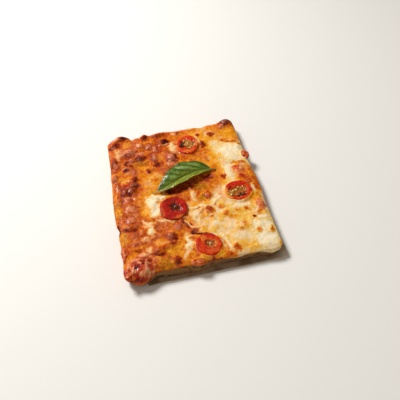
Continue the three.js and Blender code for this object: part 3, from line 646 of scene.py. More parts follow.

# Patches on it, each laid over those before: x, y, half-width, half-depth, what kind of cheese it
# is, how browned or how dark, and where it is turned, by how many degrees. Most are the cheese's
# own colour; those that carry painted shade or a painted highlight are marked where they stand.
PATCHES = [
    (-54.5, 82, 9, 4, "pink", 0.56, 6), (-48.5, 81.5, 4.5, 2.2, "plain", 0.98, 6),
    # On the next line, the dark patch at x -57.5, y 73 is browned cheese in the hollow before the back crest,
    # darkened with painted shade
    (-44.5, 83, 3, 3, "plain", 0.84), (-57.5, 73, 9, 4, "plain", 0.8, 4), (-47.5, 73, 5, 5, "plain", 0.5),
    (-56.5, 60, 3.6, 9, "milk", 0.36, -14), (-35.5, 68, 5, 4, "pink", 0.52),
    (-46.5, 61, 8, 5, "pink", 0.52), (-44.5, 57, 6.4, 3.2, "pink", 0.66), (-35.5, 55, 5, 5, "pink", 0.62),
    (-46.5, 52, 6.4, 3, "plain", 0.78, 6), (-37, 48.5, 7.5, 4, "plain", 0.84, 8),
    (-50.5, 45, 2, 4, "plain", 0.88), (-44.5, 42, 6, 2.4, "plain", 0.86),
    (-45.5, 47, 4.4, 3.4, "pink", 0.58), (-62.5, 50, 3.6, 6, "plain", 0.8),
    (-60.5, 45, 2.6, 4.4, "pink", 0.62), (-60.5, 39, 4, 3, "plain", 0.74), (-51.5, 36, 3, 3, "plain", 0.82),
    (-46.5, 34, 4.4, 3.6, "pink", 0.62), (-37.5, 42, 8, 5, "gold", 0.64), (-34.5, 35, 5, 4, "plain", 0.42),
    (-31.5, 30, 2.8, 2.8, "plain", 0.82), (-55.5, 25, 5, 4, "plain", 0.42), (-63.5, 28, 3, 4, "pink", 0.68),
    (-44.5, 27, 2.8, 3, "pink", 0.7), (-45.5, 21, 5.4, 3.4, "plain", 0.86),
    (-48.5, 15, 4.4, 4.2, "pink", 0.8), (-55.5, 16, 4, 3, "red", 0.76), (-62.5, 16, 2.6, 5, "pink", 0.64),
    (-53.5, 5, 7.4, 5, "plain", 0.86), (-57.5, 8, 3, 4, "pink", 0.78), (-51.5, 8, 2.6, 3, "pink", 0.74),
    (-34, 2.5, 8, 5, "gold", 0.54), (-66.5, 4, 3, 6, "plain", 0.5), (-27.5, 17, 4, 4, "plain", 0.58),
    (-27, 78, 4, 3, "plain", 0.92), (-13.5, 79, 7, 4.4, "plain", 0.78), (-8, 68, 5, 3.6, "plain", 1),
    # On the next line, the thin pink strip at x -10.5, y 64.5 is a painted highlight under the black streak
    (-10.5, 64.5, 7, 1.4, "pink", 0.5), (-25.5, 64, 4, 5, "pink", 0.66), (-19.5, 60, 3, 5, "pink", 0.58),
    (-22.5, 48, 3.2, 7, "pink", 0.66), (-21.5, 38, 4, 3.4, "plain", 0.86), (-14.5, 47, 4, 7, "plain", 0.5),
    (-6.5, 45, 5.2, 6.6, "pink", 0.66), (-0.5, 43, 1.8, 6.4, "plain", 0.88), (-8.5, 36, 4, 5, "pink", 0.62),
    (-2, 59, 4, 8, "milk", 0.22), (4.5, 78, 4, 2.4, "milk", 0.4), (7.5, 79, 2, 3, "plain", 0.7),
    (22.5, 74, 4.4, 4, "gold", 0.42), (27.5, 71, 2.2, 3, "plain", 0.72), (28.5, 56, 4, 5.6, "plain", 0.82),
    (25.5, 63, 1.3, 8, "milk", 0.3, 4), (34.5, 32, 4.4, 4.6, "gold", 0.44), (31.5, 21, 3, 5, "plain", 0.6),
    (27.5, 35, 2, 5, "plain", 0.66), (39.5, 77.5, 9, 3.4, "plain", 0.46), (40.5, 69, 3.4, 3, "plain", 0.78),
    (59.5, 81, 7, 6, "plain", 0.78, -20), (59.5, 83, 4, 4, "pink", 0.84), (64, 85, 3, 3, "plain", 0.94),
    (55, 77, 4, 4, "pink", 0.7), (59.5, 66, 10, 9, "gold", 0.43), (65.5, 69, 3, 10, "gold", 0.5),
    (49.5, 57, 3.4, 2.6, "plain", 0.68), (54.5, 54, 4.4, 2.2, "plain", 0.62, -8),
    (60.5, 53, 3, 2, "plain", 0.72), (64.5, 49, 3, 2.6, "gold", 0.6), (40.5, 55, 4.4, 5, "milk", 0.22),
    (51.5, 39, 11, 11, "milk", 0.08), (61.5, 43, 5, 7, "milk", 0.06), (56.5, 28, 8, 5, "milk", 0.14),
    (46.5, 23, 6, 5, "milk", 0.18), (43.5, 11, 5, 11, "milk", 0.08), (41.5, 37, 2.4, 4, "gold", 0.32),
    (44, 26, 4, 3, "milk", 0.3), (53.5, 23, 5, 1.8, "gold", 0.52), (59.5, 21, 5, 3, "plain", 0.62),
    (56.5, 11, 8, 10, "plain", 0.48), (53.5, 12, 5, 6, "red", 0.52), (51.5, 18, 2.6, 2.6, "red", 0.6),
    (56, 13, 2.6, 3, "pink", 0.4), (58.5, 18, 3, 2, "milk", 0.4), (54.5, 3.5, 3.2, 3.2, "red", 0.7),
    # The dark plain patches at (11.5, 7), (22.5, 10), (1.5, 3), (-8.5, 1) and (-15.5, 0), on this line and
    # the next two, lie just in front of the basil leaf: browned cheese, darkened with the leaf's painted
    # shadow
    (37.5, 7, 2.8, 4, "plain", 0.72), (11.5, 7, 14, 4, "plain", 0.7, 6),
    (22.5, 10, 5.4, 4.6, "plain", 0.78), (1.5, 3, 7, 7, "plain", 0.76), (-8.5, 1, 8, 5, "plain", 0.76, 14),
    (-15.5, 0, 5, 4, "plain", 0.86, 14), (12.5, -1, 8, 5, "gold", 0.66), (11.5, -15, 5, 5, "gold", 0.62),
    (17.5, -13, 3.6, 5.4, "plain", 0.78), (3.5, -9, 2.8, 9, "milk", 0.26, 8),
    (1.5, -31, 6, 8.4, "milk", 0.2), (29.5, -13, 3.6, 12, "milk", 0.4), (60.5, -14, 2, 11, "milk", 0.2),
    (60.5, -4, 3, 4, "plain", 0.7), (56.5, -27, 5, 4.6, "gold", 0.46), (61.5, -23, 3, 5, "gold", 0.5),
    (61.5, -36, 5, 5, "red", 0.46), (56.5, -44, 2.4, 5, "plain", 0.53, -20),
    (50.5, -47, 1.6, 1.7, "plain", 0.98), (13.5, -30, 4.6, 4.4, "plain", 0.71),
    (6.5, -31, 2, 4, "plain", 0.53), (25.5, -29, 4, 2.4, "plain", 0.59), (27.5, -38, 3, 3.4, "plain", 0.56),
    (32.5, -42, 4.6, 3, "plain", 0.49), (13.5, -38, 2.4, 1.6, "plain", 0.59),
    (5.5, -37, 2.2, 2, "plain", 0.46), (38.5, -37, 3, 1.3, "plain", 0.63),
    (43.5, -38, 5, 2.4, "plain", 0.3), (47.5, -36, 3.4, 2.8, "plain", 0.61),
    (32.5, -51, 1.7, 1.2, "plain", 0.63), (39.5, -52, 2.4, 2.2, "plain", 0.63),
    (39.5, -56, 2.6, 3.4, "plain", 0.48), (35, -59, 2.4, 2.2, "plain", 0.65),
    (50.5, -63, 3.4, 3.2, "plain", 0.57), (61.5, -64, 1.6, 4.6, "plain", 0.61, -20),
    (26.5, -76, 3.8, 4.2, "plain", 0.63), (39.5, -76, 7, 5, "gold", 0.36), (14.5, -47, 4, 3.4, "milk", 0.1),
    (27.5, -53, 6, 4, "milk", 0.22), (32.5, -64, 9, 5.4, "milk", 0.2), (55.5, -56, 5.6, 4.6, "milk", 0.08),
    (53.5, -73, 8, 8, "milk", 0.04), (42.5, -32, 12, 2.6, "milk", 0.16, 6),
    (64.5, -81, 2.4, 4, "gold", 0.46), (11.5, -79, 5, 3, "plain", 0.36),
    (4.5, -83.5, 9, 2.6, "plain", 0.73), (20.5, -81, 4.4, 3, "plain", 0.63),
    (57.5, -49, 5, 3, "milk", 0.16), (-67, -13, 4.4, 10, "gold", 0.56), (-56.5, -2, 4.4, 5, "pink", 0.64),
    (-54, -13, 6.4, 4.4, "pink", 0.56), (-56.5, -25, 4, 4.6, "pink", 0.66),
    (-68.5, -34, 2, 6, "plain", 0.94), (-57.5, -34, 7, 5.4, "plain", 0.62),
    (-62, -36, 3.2, 2.4, "plain", 0.86), (-55, -37.5, 3.4, 2, "plain", 0.8),
    (-66, -45, 4.4, 9, "gold", 0.56), (-41.5, -34, 5, 3.4, "milk", 0.24), (-41, -41, 3.4, 6.4, "milk", 0.2),
    (-46.5, -48.5, 4.4, 2.6, "milk", 0.36), (-34.5, -10, 6, 9, "milk", 0.04),
    (-28.5, -5, 8, 4, "milk", 0.08), (-34.5, -20, 5, 10, "milk", 0.1), (-42, -17, 4.2, 8, "gold", 0.46),
    (-26.5, -52, 3.2, 3.8, "pink", 0.74), (-22.5, -54.5, 1.6, 4, "plain", 0.95),
    # On the next line, the thin dark patch at (-26.5, -58), at the front foot of the blister above it, is
    # partly scorch and partly painted shade
    (-26.5, -58, 5, 1.6, "plain", 0.88), (-18, -43, 4, 4.6, "pink", 0.72),
    (-12.5, -39, 3, 2.4, "plain", 0.86), (-8.5, -44, 3.2, 4, "plain", 0.84),
    (-12.5, -54, 3, 5, "plain", 0.34), (-4.5, -50, 4.4, 3.4, "plain", 0.84),
    (-54.5, -53, 5.4, 3, "plain", 0.66), (-67, -58, 2.4, 4, "red", 0.66), (-67, -64.5, 2.4, 4, "red", 0.72),
    (-55.5, -59, 6, 1.8, "plain", 0.74), (-46.5, -63, 3, 4.4, "milk", 0.34),
    (-52.5, -65, 5, 2.6, "pink", 0.44), (-38.5, -64, 7.4, 4.4, "plain", 0.7, 8),
    # On the next line, the thin dark patch at (-37.5, -67.5), at the front foot of the lump at (-38.5, -64),
    # is partly scorch and partly painted shade
    (-37.5, -67.5, 6, 1.6, "plain", 0.86), (-35.5, -55, 7, 3, "plain", 0.44),
    (-25, -65, 8, 6, "gold", 0.53), (-12.5, -63, 3.8, 8, "milk", 0.14, -16),
    (-25.5, -77, 4.4, 4.4, "plain", 0.76), (-17.5, -73, 1.4, 4.4, "milk", 0.32, -24),
    (-35.5, -77, 7.6, 8, "gold", 0.63), (-54.5, -76, 12, 9, "pink", 0.54),
    (-58.5, -69, 7, 2.6, "pink", 0.44), (-54, -73, 5.6, 2, "red", 0.9, 6), (-60, -76, 3, 2.8, "red", 0.86),
    (-47.5, -71, 2, 3.2, "plain", 0.82), (-45.5, -81, 3, 7, "plain", 0.64), (-57.5, -88, 9, 3, "red", 0.78),
    (-67, -80, 2.6, 5.4, "red", 0.64), (-67.5, -88, 2.4, 3.4, "red", 0.86),
    (-8.5, -83, 5, 2.4, "red", 0.62),
]

# Creases and strings in it: half-width, kind, how browned, rise, and the points they run through
STRINGS = [
    (1.3, "milk", 0.2, 0.6, [
        (-6.5, -21.5), (-4, -23.5), (2.5, -25), (8, -23.5), (14, -25.5), (20, -23.5), (23.5, -19),
        (28, -16.5),
    ]),
    (0.45, "plain", 0.66, -0.35, [
        (-1, -27.2), (3.5, -27), (8, -25.7), (14, -27.4), (18, -26.9), (21.5, -24.5),
    ]),
    # A black line along the back edge of the front tomato half: partly scorch, partly painted shade where the
    # cheese meets the tomato
    (0.9, "plain", 1, -0.5, [(-7.5, -52), (-2.5, -54), (2.5, -55), (6.5, -57), (9.5, -58.5)]),
    # A raised pale string along the front of the second tomato half: pale cheese, lightened further as a
    # painted highlight on its crest
    (0.75, "milk", 0.34, 0.6, [
        (-33.5, -32), (-27.5, -33), (-23.5, -36), (-20.5, -37), (-14.5, -35), (-7.5, -34),
    ]),
    (0.7, "milk", 0.26, 0.5, [(-10.5, -38), (-6.5, -44.5), (-0.5, -47.5), (5.5, -46.5)]),
    (0.9, "milk", 0.26, 0.4, [(4.5, -32), (7.5, -27), (13.5, -25), (19.5, -27.5), (21.5, -32)]),
    (0.5, "plain", 0.62, -0.3, [(59.5, -31), (55.5, -38), (51.5, -45.5)]),
    (0.9, "milk", 0.24, 0.35, [(52.5, -44.5), (57, -37), (60.5, -30)]),
    (0.8, "pink", 0.36, 0.5, [(-66, -74.5), (-63, -78.5), (-59, -80.5)]),
    (0.7, "milk", 0.3, 0.4, [(-46.5, -28), (-43.5, -32), (-41.5, -37)]),
    (0.5, "plain", 0.52, -0.25, [(11.5, -60), (15.5, -64), (18.5, -71), (19.5, -77)]),
    (0.8, "milk", 0.16, 0.4, [(14.5, -54), (17, -60), (19.5, -67), (21.5, -74)]),
]

# The lump on the front left corner, where cheese ran over crushed tomato and shrank to a net of
# pale wrinkles: x, y, half-width, half-depth
WRINKLED_LUMP = (-55.5, -77.0, 12.5, 10.5)

# How far each kind of cheese stands up. Plain is what lies where no other kind does: pink is
# blistered skin, its pink-mauve cast partly a painted sheen, gold is thin and oily, red is stained
# by the tomato, and milk is hardly baked.
KIND_RISE = {"plain": 0.0, "pink": 0.9, "gold": -0.2, "red": 0.2, "milk": 0.4}
KINDS_LAID = ("pink", "gold", "red", "milk")

# The colours of each kind, from the palest to the most browned
CHEESE_COLOURS = {
    "plain": [
        (0.0, 250, 228, 184), (0.12, 246, 213, 146), (0.25, 242, 190, 88), (0.38, 239, 160, 28),
        (0.50, 226, 127, 8), (0.62, 198, 88, 6), (0.75, 154, 50, 2), (0.87, 100, 28, 4), (1.0, 40, 12, 4),
    ],
    # Blistered skin: brown, with a pink-mauve cast that is a painted sheen
    "pink": [
        (0.3, 246, 184, 140), (0.5, 226, 138, 94), (0.62, 200, 108, 72), (0.75, 158, 78, 54),
        (0.87, 108, 48, 36), (1.0, 52, 20, 16),
    ],
    "gold": [
        (0.3, 248, 192, 84), (0.42, 240, 158, 18), (0.5, 221, 134, 3), (0.6, 178, 108, 6), (0.75, 114, 60, 4),
    ],
    "red": [
        (0.4, 228, 124, 84), (0.55, 214, 84, 44), (0.66, 186, 48, 18), (0.78, 146, 28, 8), (0.95, 90, 10, 4),
    ],
    "milk": [
        (0.0, 253, 238, 206), (0.15, 248, 222, 176), (0.3, 240, 190, 132), (0.45, 222, 152, 98),
    ],
}


def distance_to(x, y, middle_x, middle_y, half_x, half_y, turn=0.0):
    """How far a place is from an oval's middle, as a share of the way to its edge."""
    c, s = math.cos(math.radians(turn)), math.sin(math.radians(turn))
    dx, dy = x - middle_x, y - middle_y
    return np.hypot((dx * c + dy * s) / half_x, (dy * c - dx * s) / half_y)


def bubbles(x, y, size, seed):
    """Round bubbles, one to a cell of a jittered grid: the rise on it, and its own number."""
    i, j = np.floor(x / size), np.floor(y / size)
    best, own = np.zeros_like(x), np.zeros_like(x)
    for di in (-1, 0, 1):
        for dj in (-1, 0, 1):
            a, b = i + di, j + dj
            middle_x = (a + 0.15 + 0.7 * lattice(a, b, seed)) * size
            middle_y = (b + 0.15 + 0.7 * lattice(a, b, seed + 1)) * size
            radius = size * (0.3 + 0.4 * lattice(a, b, seed + 2))
            rise = clamp01(1 - ((x - middle_x) ** 2 + (y - middle_y) ** 2) / radius**2)
            own = np.where(rise > best, lattice(a, b, seed + 3), own)
            best = np.maximum(best, rise)
    return best, own


def tomato_outline(tomato, angle):
    """How a tomato half's outline strays from an oval, by the direction from its middle."""
    return 1 + 0.03 * np.sin(angle * 2 + tomato["x"]) + 0.015 * np.sin(angle * 5 + tomato["y"])


def tomato_away(tomato, x, y):
    """Distance from a tomato half's middle, 1 at its rim."""
    angle = np.arctan2(y - tomato["y"], x - tomato["x"]) - math.radians(tomato["turn"])
    oval = [tomato[key] for key in ("x", "y", "rx", "ry", "turn")]
    return distance_to(x, y, *oval) / tomato_outline(tomato, angle)


def distance_to_run(x, y, run):
    """How far a place is from a row of points joined by straight lines."""
    nearest = np.full_like(x, 1e3)
    for (ax, ay), (bx, by) in zip(run, run[1:]):
        t = clamp01(((x - ax) * (bx - ax) + (y - ay) * (by - ay)) / ((bx - ax) ** 2 + (by - ay) ** 2))
        nearest = np.minimum(nearest, np.hypot(x - mix(ax, bx, t), y - mix(ay, by, t)))
    return nearest


def lay_over(masks, kind, tone, share):
    """Lays one kind of cheese, browned so far, over what is there, by a share from 0 to 1."""
    for mask in masks:
        value = tone if mask == "baked" else float(mask == kind)
        masks[mask] = mix(masks[mask], value, share)


def wrinkle_lump(x, y, masks, away):
    """Turns the lump at the corner into a net of pale wrinkles over red, and gives its relief."""
    wrinkled = 1 - step(0.7, 1.1, away)
    shrunk = np.abs(crumple(x, y, 6.0, 110, 3))
    net = step(0.08, 0.42, shrunk)
    masks["baked"] = mix(masks["baked"], mix(0.42, masks["baked"] + 0.08, net), wrinkled)
    masks["red"] = np.maximum(masks["red"], 0.9 * wrinkled * step(0.44, 0.7, shrunk))
    masks["pink"] = np.maximum(masks["pink"], wrinkled * (1 - masks["red"]))
    return WRINKLE_RISE * wrinkled * (1 - net)


def blister(x, y, warp_x, warp_y, masks):
    """Breaks browned cheese up into bubbles and the rest into puckers, and gives their relief."""
    big, big_own = bubbles(warp_x, warp_y, BIG_BUBBLE, 90)
    small, small_own = bubbles(warp_x + 2.0, warp_y, SMALL_BUBBLE, 95)
    folds = bell(crumple(x, y, 6.0, 102, 2) / 0.12)
    puckers = crumple(x, y, 4.4, 87, 3)
    browned = step(0.36, 0.56, masks["baked"]) * (1 - 0.9 * masks["milk"])
    pale = 1 - browned
    blistered = browned * (1 - 0.6 * masks["gold"])
    caught = blistered * step(0.48, 0.62, masks["baked"])
    tops = caught * step(0.25, 0.7, big) * step(0.25, 0.6, big_own)
    masks["pink"] = np.maximum(masks["pink"], PINK_TOPS * tops * (1 - masks["red"]))
    between_bubbles = blistered * (1 - step(0.0, 0.2, big))
    masks["red"] = np.maximum(masks["red"], RED_BETWEEN * between_bubbles * (1 - masks["pink"]))
    # Each bubble a little more or less browned at random, and darker in the gaps between bubbles: painted
    # shade
    mottled_and_gap_shade = (
        0.10 * (big_own - 0.5) * step(0.0, 0.35, big)
        + 0.05 * (small_own - 0.5) * step(0.0, 0.35, small)
        + 0.07 * (1 - step(0.0, 0.25, np.maximum(big, small)))
    )
    masks["baked"] = masks["baked"] + (0.035 + 0.015 * browned) * puckers + blistered * mottled_and_gap_shade
    # Paler along the folds: white strings where the cheese is pale, a painted highlight on the crests where
    # it is browned
    masks["baked"] = masks["baked"] - mix(FOLD_PALER["pale"], FOLD_PALER["browned"], browned) * folds
    masks["milk"] = np.maximum(masks["milk"], pale * (1 - masks["gold"]) * step(0.0, 0.5, -puckers))
    bubbled = BIG_BUBBLE_RISE * smooth(big) + SMALL_BUBBLE_RISE * smooth(small)
    return blistered * bubbled + FOLD_RISE * folds + PUCKER_RISE * pale * puckers


def browning(x, y):
    """The masks that colour the cheese at a place, and the fine relief that goes with them."""
    warp_x = x + WANDER * crumple(x, y, 5.0, 60, 3)
    warp_y = y + WANDER * crumple(x, y, 5.0, 70, 3)
    weight, total = 1e-4, 1e-4 * 0.5
    for middle_x, middle_y, reach, value in BROAD_TONES:
        near = bell(np.hypot(warp_x - middle_x, warp_y - middle_y) / reach)
        weight, total = weight + near, total + near * value
    masks = {mask: np.zeros_like(x) for mask in KINDS_LAID}
    # baked: how browned the cheese is, with the painted shade and painted highlights noted below laid into it
    masks["baked"] = total / weight
    frayed = FRAY * crumple(x, y, 2.2, 80, 2)
    relief = np.zeros_like(x)
    for middle_x, middle_y, half_x, half_y, kind, tone, *turn in PATCHES:
        away = distance_to(warp_x, warp_y, middle_x, middle_y, half_x, half_y, *turn)
        lay_over(masks, kind, tone, 1 - step(0.4, 1.3, away + frayed))
        # Each pink blister gets a darker ring round its foot, partly scorch and partly painted shade, and a
        # paler top, a painted highlight
        if kind == "pink":
            rim = bell((away + frayed - 0.98) / 0.22)
            masks["baked"] = masks["baked"] + 0.10 * rim - 0.05 * hump(away)
        relief = relief + KIND_RISE[kind] * hump(0.85 * away)
    for half_width, kind, tone, rise, run in STRINGS:
        away = distance_to_run(warp_x, warp_y, run) / half_width
        lay_over(masks, kind, tone, 1 - step(0.4, 1.5, away))
        relief = relief + rise * hump(0.6 * away)
    relief = relief + wrinkle_lump(x, y, masks, distance_to(warp_x, warp_y, *WRINKLED_LUMP) + frayed)
    return masks, relief + blister(x, y, warp_x, warp_y, masks)


def cheese_height(u, v, x, y):
    """How high the cheese's top is before anything is pressed in, and 0 at its edge to 1 inside."""
    top = CHEESE_TOP
    for seed, (size, height) in enumerate(SWELLS, 1):
        top = top + height * noise(x, y, size, seed)
    for *oval, height in BLISTERS + POOLS:
        top = top + height * hump(distance_to(x, y, *oval))
    level = 1.0
    for _, away, _, _ in seen_sides(u, v, x, y):
        level = level * (1 - (1 - clamp01(away / SHOULDER_WIDTH)) ** 2)
    return mix(CHEESE_TOP - SHOULDER_DROP, top, level) + all_sides(u, v, x, y, "up"), level


def press_in(x, y, height):
    """Sinks the cheese under each topping and draws it up where it grips one."""
    for tomato in TOMATOES:
        away = tomato_away(tomato, x, y)
        size = (tomato["rx"] + tomato["ry"]) / 2
        height = height + tomato["grip"] * bell((away - 0.99) * size / GRIP_WIDTH)
        floor = tomato["rim"] - TOMATO_DEPTH - GAP
        height = mix(np.minimum(height, floor), height, step(0.80, 0.93, away))
    for cx, cy, cz, half_x, half_y, half_z, _ in CHUNKS:
        away = distance_to(x, y, cx, cy, half_x, half_y)
        size = (half_x + half_y) / 2
        height = height + CHUNK_GRIP * bell((away - 1.0) * size / CHUNK_GRIP_WIDTH)
        height = mix(np.minimum(height, cz - half_z - GAP), height, step(0.6, 0.95, away))
    return height


def through(stations, t):
    """A smooth curve through stations, read at t from 0 to the last one's number."""
    stations = np.asarray(stations)
    last = len(stations) - 1
    first = np.minimum(np.floor(t).astype(int), last - 1)
    f = (t - first).reshape(-1, *[1] * (stations.ndim - 1))
    a, b = stations[np.maximum(first - 1, 0)], stations[first]
    c, d = stations[first + 1], stations[np.minimum(first + 2, last)]
    bend, twist = 2 * a - 5 * b + 4 * c - d, 3 * b - 3 * c + d - a
    return 0.5 * (2 * b + (c - a) * f + bend * f**2 + twist * f**3)


def melted_cheese():
    material, tree, place = new_material("melted_mozzarella")
    fine = speckle(tree, place, 0.8, 3.0)
    dots = speckle(tree, place, 2.2, 3.0, 5.0)
    baked = mask_of(tree, "baked")
    uneven = plus(tree, varied(tree, fine, -0.05, 0.05), varied(tree, dots, -0.065, 0.065))
    uneven = times(tree, uneven, spread(tree, baked, 0.2, 0.5, 0.4, 1.0))
    baked = plus(tree, baked, uneven)
    colour = ramp(tree, baked, CHEESE_COLOURS["plain"])
    for kind in KINDS_LAID:
        colour = blend(tree, mask_of(tree, kind), colour, ramp(tree, baked, CHEESE_COLOURS[kind]))
    pink, red = mask_of(tree, "pink"), mask_of(tree, "red")
    roughness = sums(tree, "SUBTRACT", varied(tree, dots, 0.46, 0.62), times(tree, pink, 0.18))
    drops = spread(tree, speckle(tree, place, 1.4, 2.0, 11.0), 0.5, 0.58, 0.0, 0.75)
    wet = times(tree, sums(tree, "MAXIMUM", sums(tree, "MAXIMUM", pink, red), 0.2), drops)
    relief = bump(tree, fine, 0.08, bump(tree, dots, 0.3))
    glow = (0.06, (1.0, 0.55, 0.25), 1.0)
    shine = {"Specular IOR Level": 0.09, "Coat Weight": wet, "Coat Roughness": 0.1}
    surface(tree, colour, roughness, relief, glow, shine)
    return material


def melt_cheese():
    rim = walk_rim(RIM_ACROSS, RIM_ALONG)
    count = len(rim["x"])
    edge_height, _ = cheese_height(rim["u"], rim["v"], rim["x"], rim["y"])
    hang = rim["hang"]
    lip = LIP + LIP_PER_HANG * hang
    # from under the cheese, out and round its hanging lip, and up to its shoulder
    stations = [
        beside(rim, out, np.broadcast_to(height, (count,)))
        for out, height in [
            (-3.0, CHEESE_BOTTOM),
            (GAP + 0.25, CHEESE_BOTTOM),
            (GAP + 0.3 + lip / 2, CHEESE_BOTTOM - 0.2 - hang),
            (GAP + 0.5 + lip, CHEESE_BOTTOM + 0.7 - 0.7 * hang),
            (0.45, edge_height),
        ]
    ]
    side = through(stations, np.linspace(0.0, 4.0, RIM_STEPS))
    waver = crumple(rim["walked"], side[:, :, 2] * 1.6, 3.6, 40, 3)
    waver = 0.2 * waver * np.sin(math.pi * np.linspace(0, 1, RIM_STEPS))[:, None]
    side[:, :, 0] += rim["nx"] * waver
    side[:, :, 1] += rim["ny"] * waver

    v, u = np.meshgrid(
        np.arange(1, RIM_ALONG) / RIM_ALONG, np.arange(1, RIM_ACROSS) / RIM_ACROSS, indexing="ij"
    )
    x, y = plan_point(u, v)
    height, level = cheese_height(u, v, x, y)
    _, relief = browning(x, y)
    height = press_in(x, y, height + relief * level)
    inner = np.stack([x, y, height], -1).reshape(-1, 3)
    points = np.concatenate([side.reshape(-1, 3), inner])

    at = np.empty((RIM_ALONG + 1, RIM_ACROSS + 1), int)
    last = (RIM_STEPS - 1) * count
    at[0, :] = last + np.arange(RIM_ACROSS + 1)
    at[:, -1] = last + RIM_ACROSS + np.arange(RIM_ALONG + 1)
    at[-1, ::-1] = last + RIM_ACROSS + RIM_ALONG + np.arange(RIM_ACROSS + 1)
    at[::-1, 0] = last + (2 * RIM_ACROSS + RIM_ALONG + np.arange(RIM_ALONG + 1)) % count
    at[1:-1, 1:-1] = RIM_STEPS * count + np.arange(len(inner)).reshape(RIM_ALONG - 1, RIM_ACROSS - 1)
    faces = [*open_stack(count, RIM_STEPS), *grid_faces(at).tolist()]

    drop = edge_height - side[:, :, 2]
    over = np.stack([side[:, :, 0] + rim["nx"] * drop, side[:, :, 1] + rim["ny"] * drop], -1)
    where = np.concatenate([over.reshape(-1, 2), inner[:, :2]])
    masks, _ = browning(where[:, 0], where[:, 1])
    piece = make_piece("cheese", points, faces, masks)
    serve(piece, melted_cheese(), "browned_mozzarella", "mozzarella")


melt_cheese()

# ------------------------------------------------------------------ cherry tomato halves
# Small tomatoes, cut in half and pressed into the cheese with the cut face up, then roasted with
# it. The flesh stands as a wet red ring round the seed pockets, and the skin round it wrinkled.

TOMATO_AROUND = 144
SKIN_RINGS = 22
FACE_RINGS = 44

# A half's outline, as shares of its radius and heights above its rim: the skin from the bottom up,
# and the cut face from the middle out
SKIN_STATIONS = [(0.0, -TOMATO_DEPTH), (0.62, -4.5), (0.92, -2.5), (1.0, -1.0), (0.955, -0.3)]
FACE_STATIONS = [(0.0, -0.3), (0.5, -0.2), (0.75, 0.0), (0.87, 0.05), (0.93, -0.1)]
POCKET_DEPTH = 0.9
GEL_LUMPS = 0.35
FIBRE_RELIEF = 0.12
FLESH_RELIEF = 0.1
SAG = 0.18  # of the roasted rim, up and down
USUAL_RADIUS = 9  # of a half, which the patterns on all four are drawn for

# How each half differs: how ripe its flesh is, from orange to dark red, where the middle of its
# pulp lies, its seed pockets (x, y and half-sizes as shares of its own, how pale the gel is), and
# patches on it (kind, x, y, half-sizes, turn in degrees, amount). The dark patches are partly
# scorched flesh and partly painted shade on inner walls that face away from the lamp.
TOMATO_PULP = [
    {"ripe": 0.26, "off": (0.0, -0.3), "pockets": [
        (-0.54, -0.06, 0.34, 0.38, 0.08), (-0.06, 0.22, 0.44, 0.38, 0.95), (0.36, 0.02, 0.46, 0.44, 0.82),
        (0.05, -0.32, 0.42, 0.28, 0.66),
    ], "patches": [
        ("char", -0.36, 0.1, 0.1, 0.26, 0, 0.6), ("char", 0.16, 0.26, 0.07, 0.16, -30, 0.9),
        ("amber", 0.0, -0.76, 0.6, 0.14, 0, 0.5), ("amber", 0.88, 0.1, 0.12, 0.6, 0, 0.7),
    ]},
    {"ripe": 0.60, "off": (0.6, 1.0), "pockets": [
        (0.0, 0.06, 0.50, 0.42, 0.12), (0.26, -0.1, 0.34, 0.28, 0.34),
    ], "patches": [
        ("char", 0.0, 0.74, 0.8, 0.24, 0, 0.4), ("char", -0.1, 0.16, 0.2, 0.1, 0, 0.7),
        ("amber", 0.2, -0.8, 0.5, 0.12, 10, 0.35), ("amber", -0.8, -0.2, 0.1, 0.5, 0, 0.25),
    ]},
    {"ripe": 0.40, "off": (-1.0, 0.0), "pockets": [
        (-0.40, -0.04, 0.42, 0.34, 0.95), (0.06, 0.12, 0.46, 0.34, 0.72), (0.38, 0.02, 0.32, 0.32, 0.76),
        (0.06, -0.36, 0.42, 0.28, 0.34),
    ], "patches": [
        ("amber", -0.92, 0.0, 0.34, 0.8, 0, 1.0), ("char", -0.46, 0.42, 0.34, 0.1, 38, 1.0),
        ("char", 0.0, -0.54, 0.32, 0.1, 0, 0.9), ("char", -0.5, -0.34, 0.2, 0.09, -40, 0.8),
        ("char", 0.06, 0.14, 0.22, 0.08, 20, 0.7),
    ]},
    {"ripe": 0.42, "off": (1.6, 0.6), "pockets": [
        (0.0, 0.0, 0.36, 0.30, 0.5), (0.08, 0.0, 0.2, 0.16, 0.66),
    ], "patches": [
        ("amber", 0.14, 0.0, 0.5, 0.42, 0, 0.55),
        ("amber", -0.46, 0.52, 0.07, 0.26, 0, 0.8), ("amber", -0.3, 0.58, 0.06, 0.26, 0, 0.7),
        ("amber", -0.14, 0.6, 0.05, 0.2, 0, 0.5), ("char", 0.2, 0.94, 0.8, 0.14, -8, 0.8),
        ("char", -0.3, 0.12, 0.08, 0.2, 0, 0.4), ("amber", 0.1, -0.62, 0.6, 0.2, 0, 0.25),
    ]},
]


def turn_by(points, lean, turn, place):
    """Leans points about X, then turns them about Z, then moves them to their place."""
    cx, sx = math.cos(math.radians(lean)), math.sin(math.radians(lean))
    cz, sz = math.cos(math.radians(turn)), math.sin(math.radians(turn))
    x, y, z = points[..., 0], points[..., 1], points[..., 2]
    y, z = y * cx - z * sx, y * sx + z * cx
    return np.stack([x * cz - y * sz + place[0], x * sz + y * cz + place[1], z + place[2]], -1)


def capped_faces(count, rings):
    """Rings joined to each other, and closed by a point below the first and above the last."""
    a = np.arange(count)
    b = (a + 1) % count
    low, high = count * rings, count * rings + 1
    below = np.stack([b, a, np.full(count, low)], -1)
    above = np.stack([a + (rings - 1) * count, b + (rings - 1) * count, np.full(count, high)], -1)
    return [*ring_faces(count, rings).tolist(), *below.tolist(), *above.tolist()]


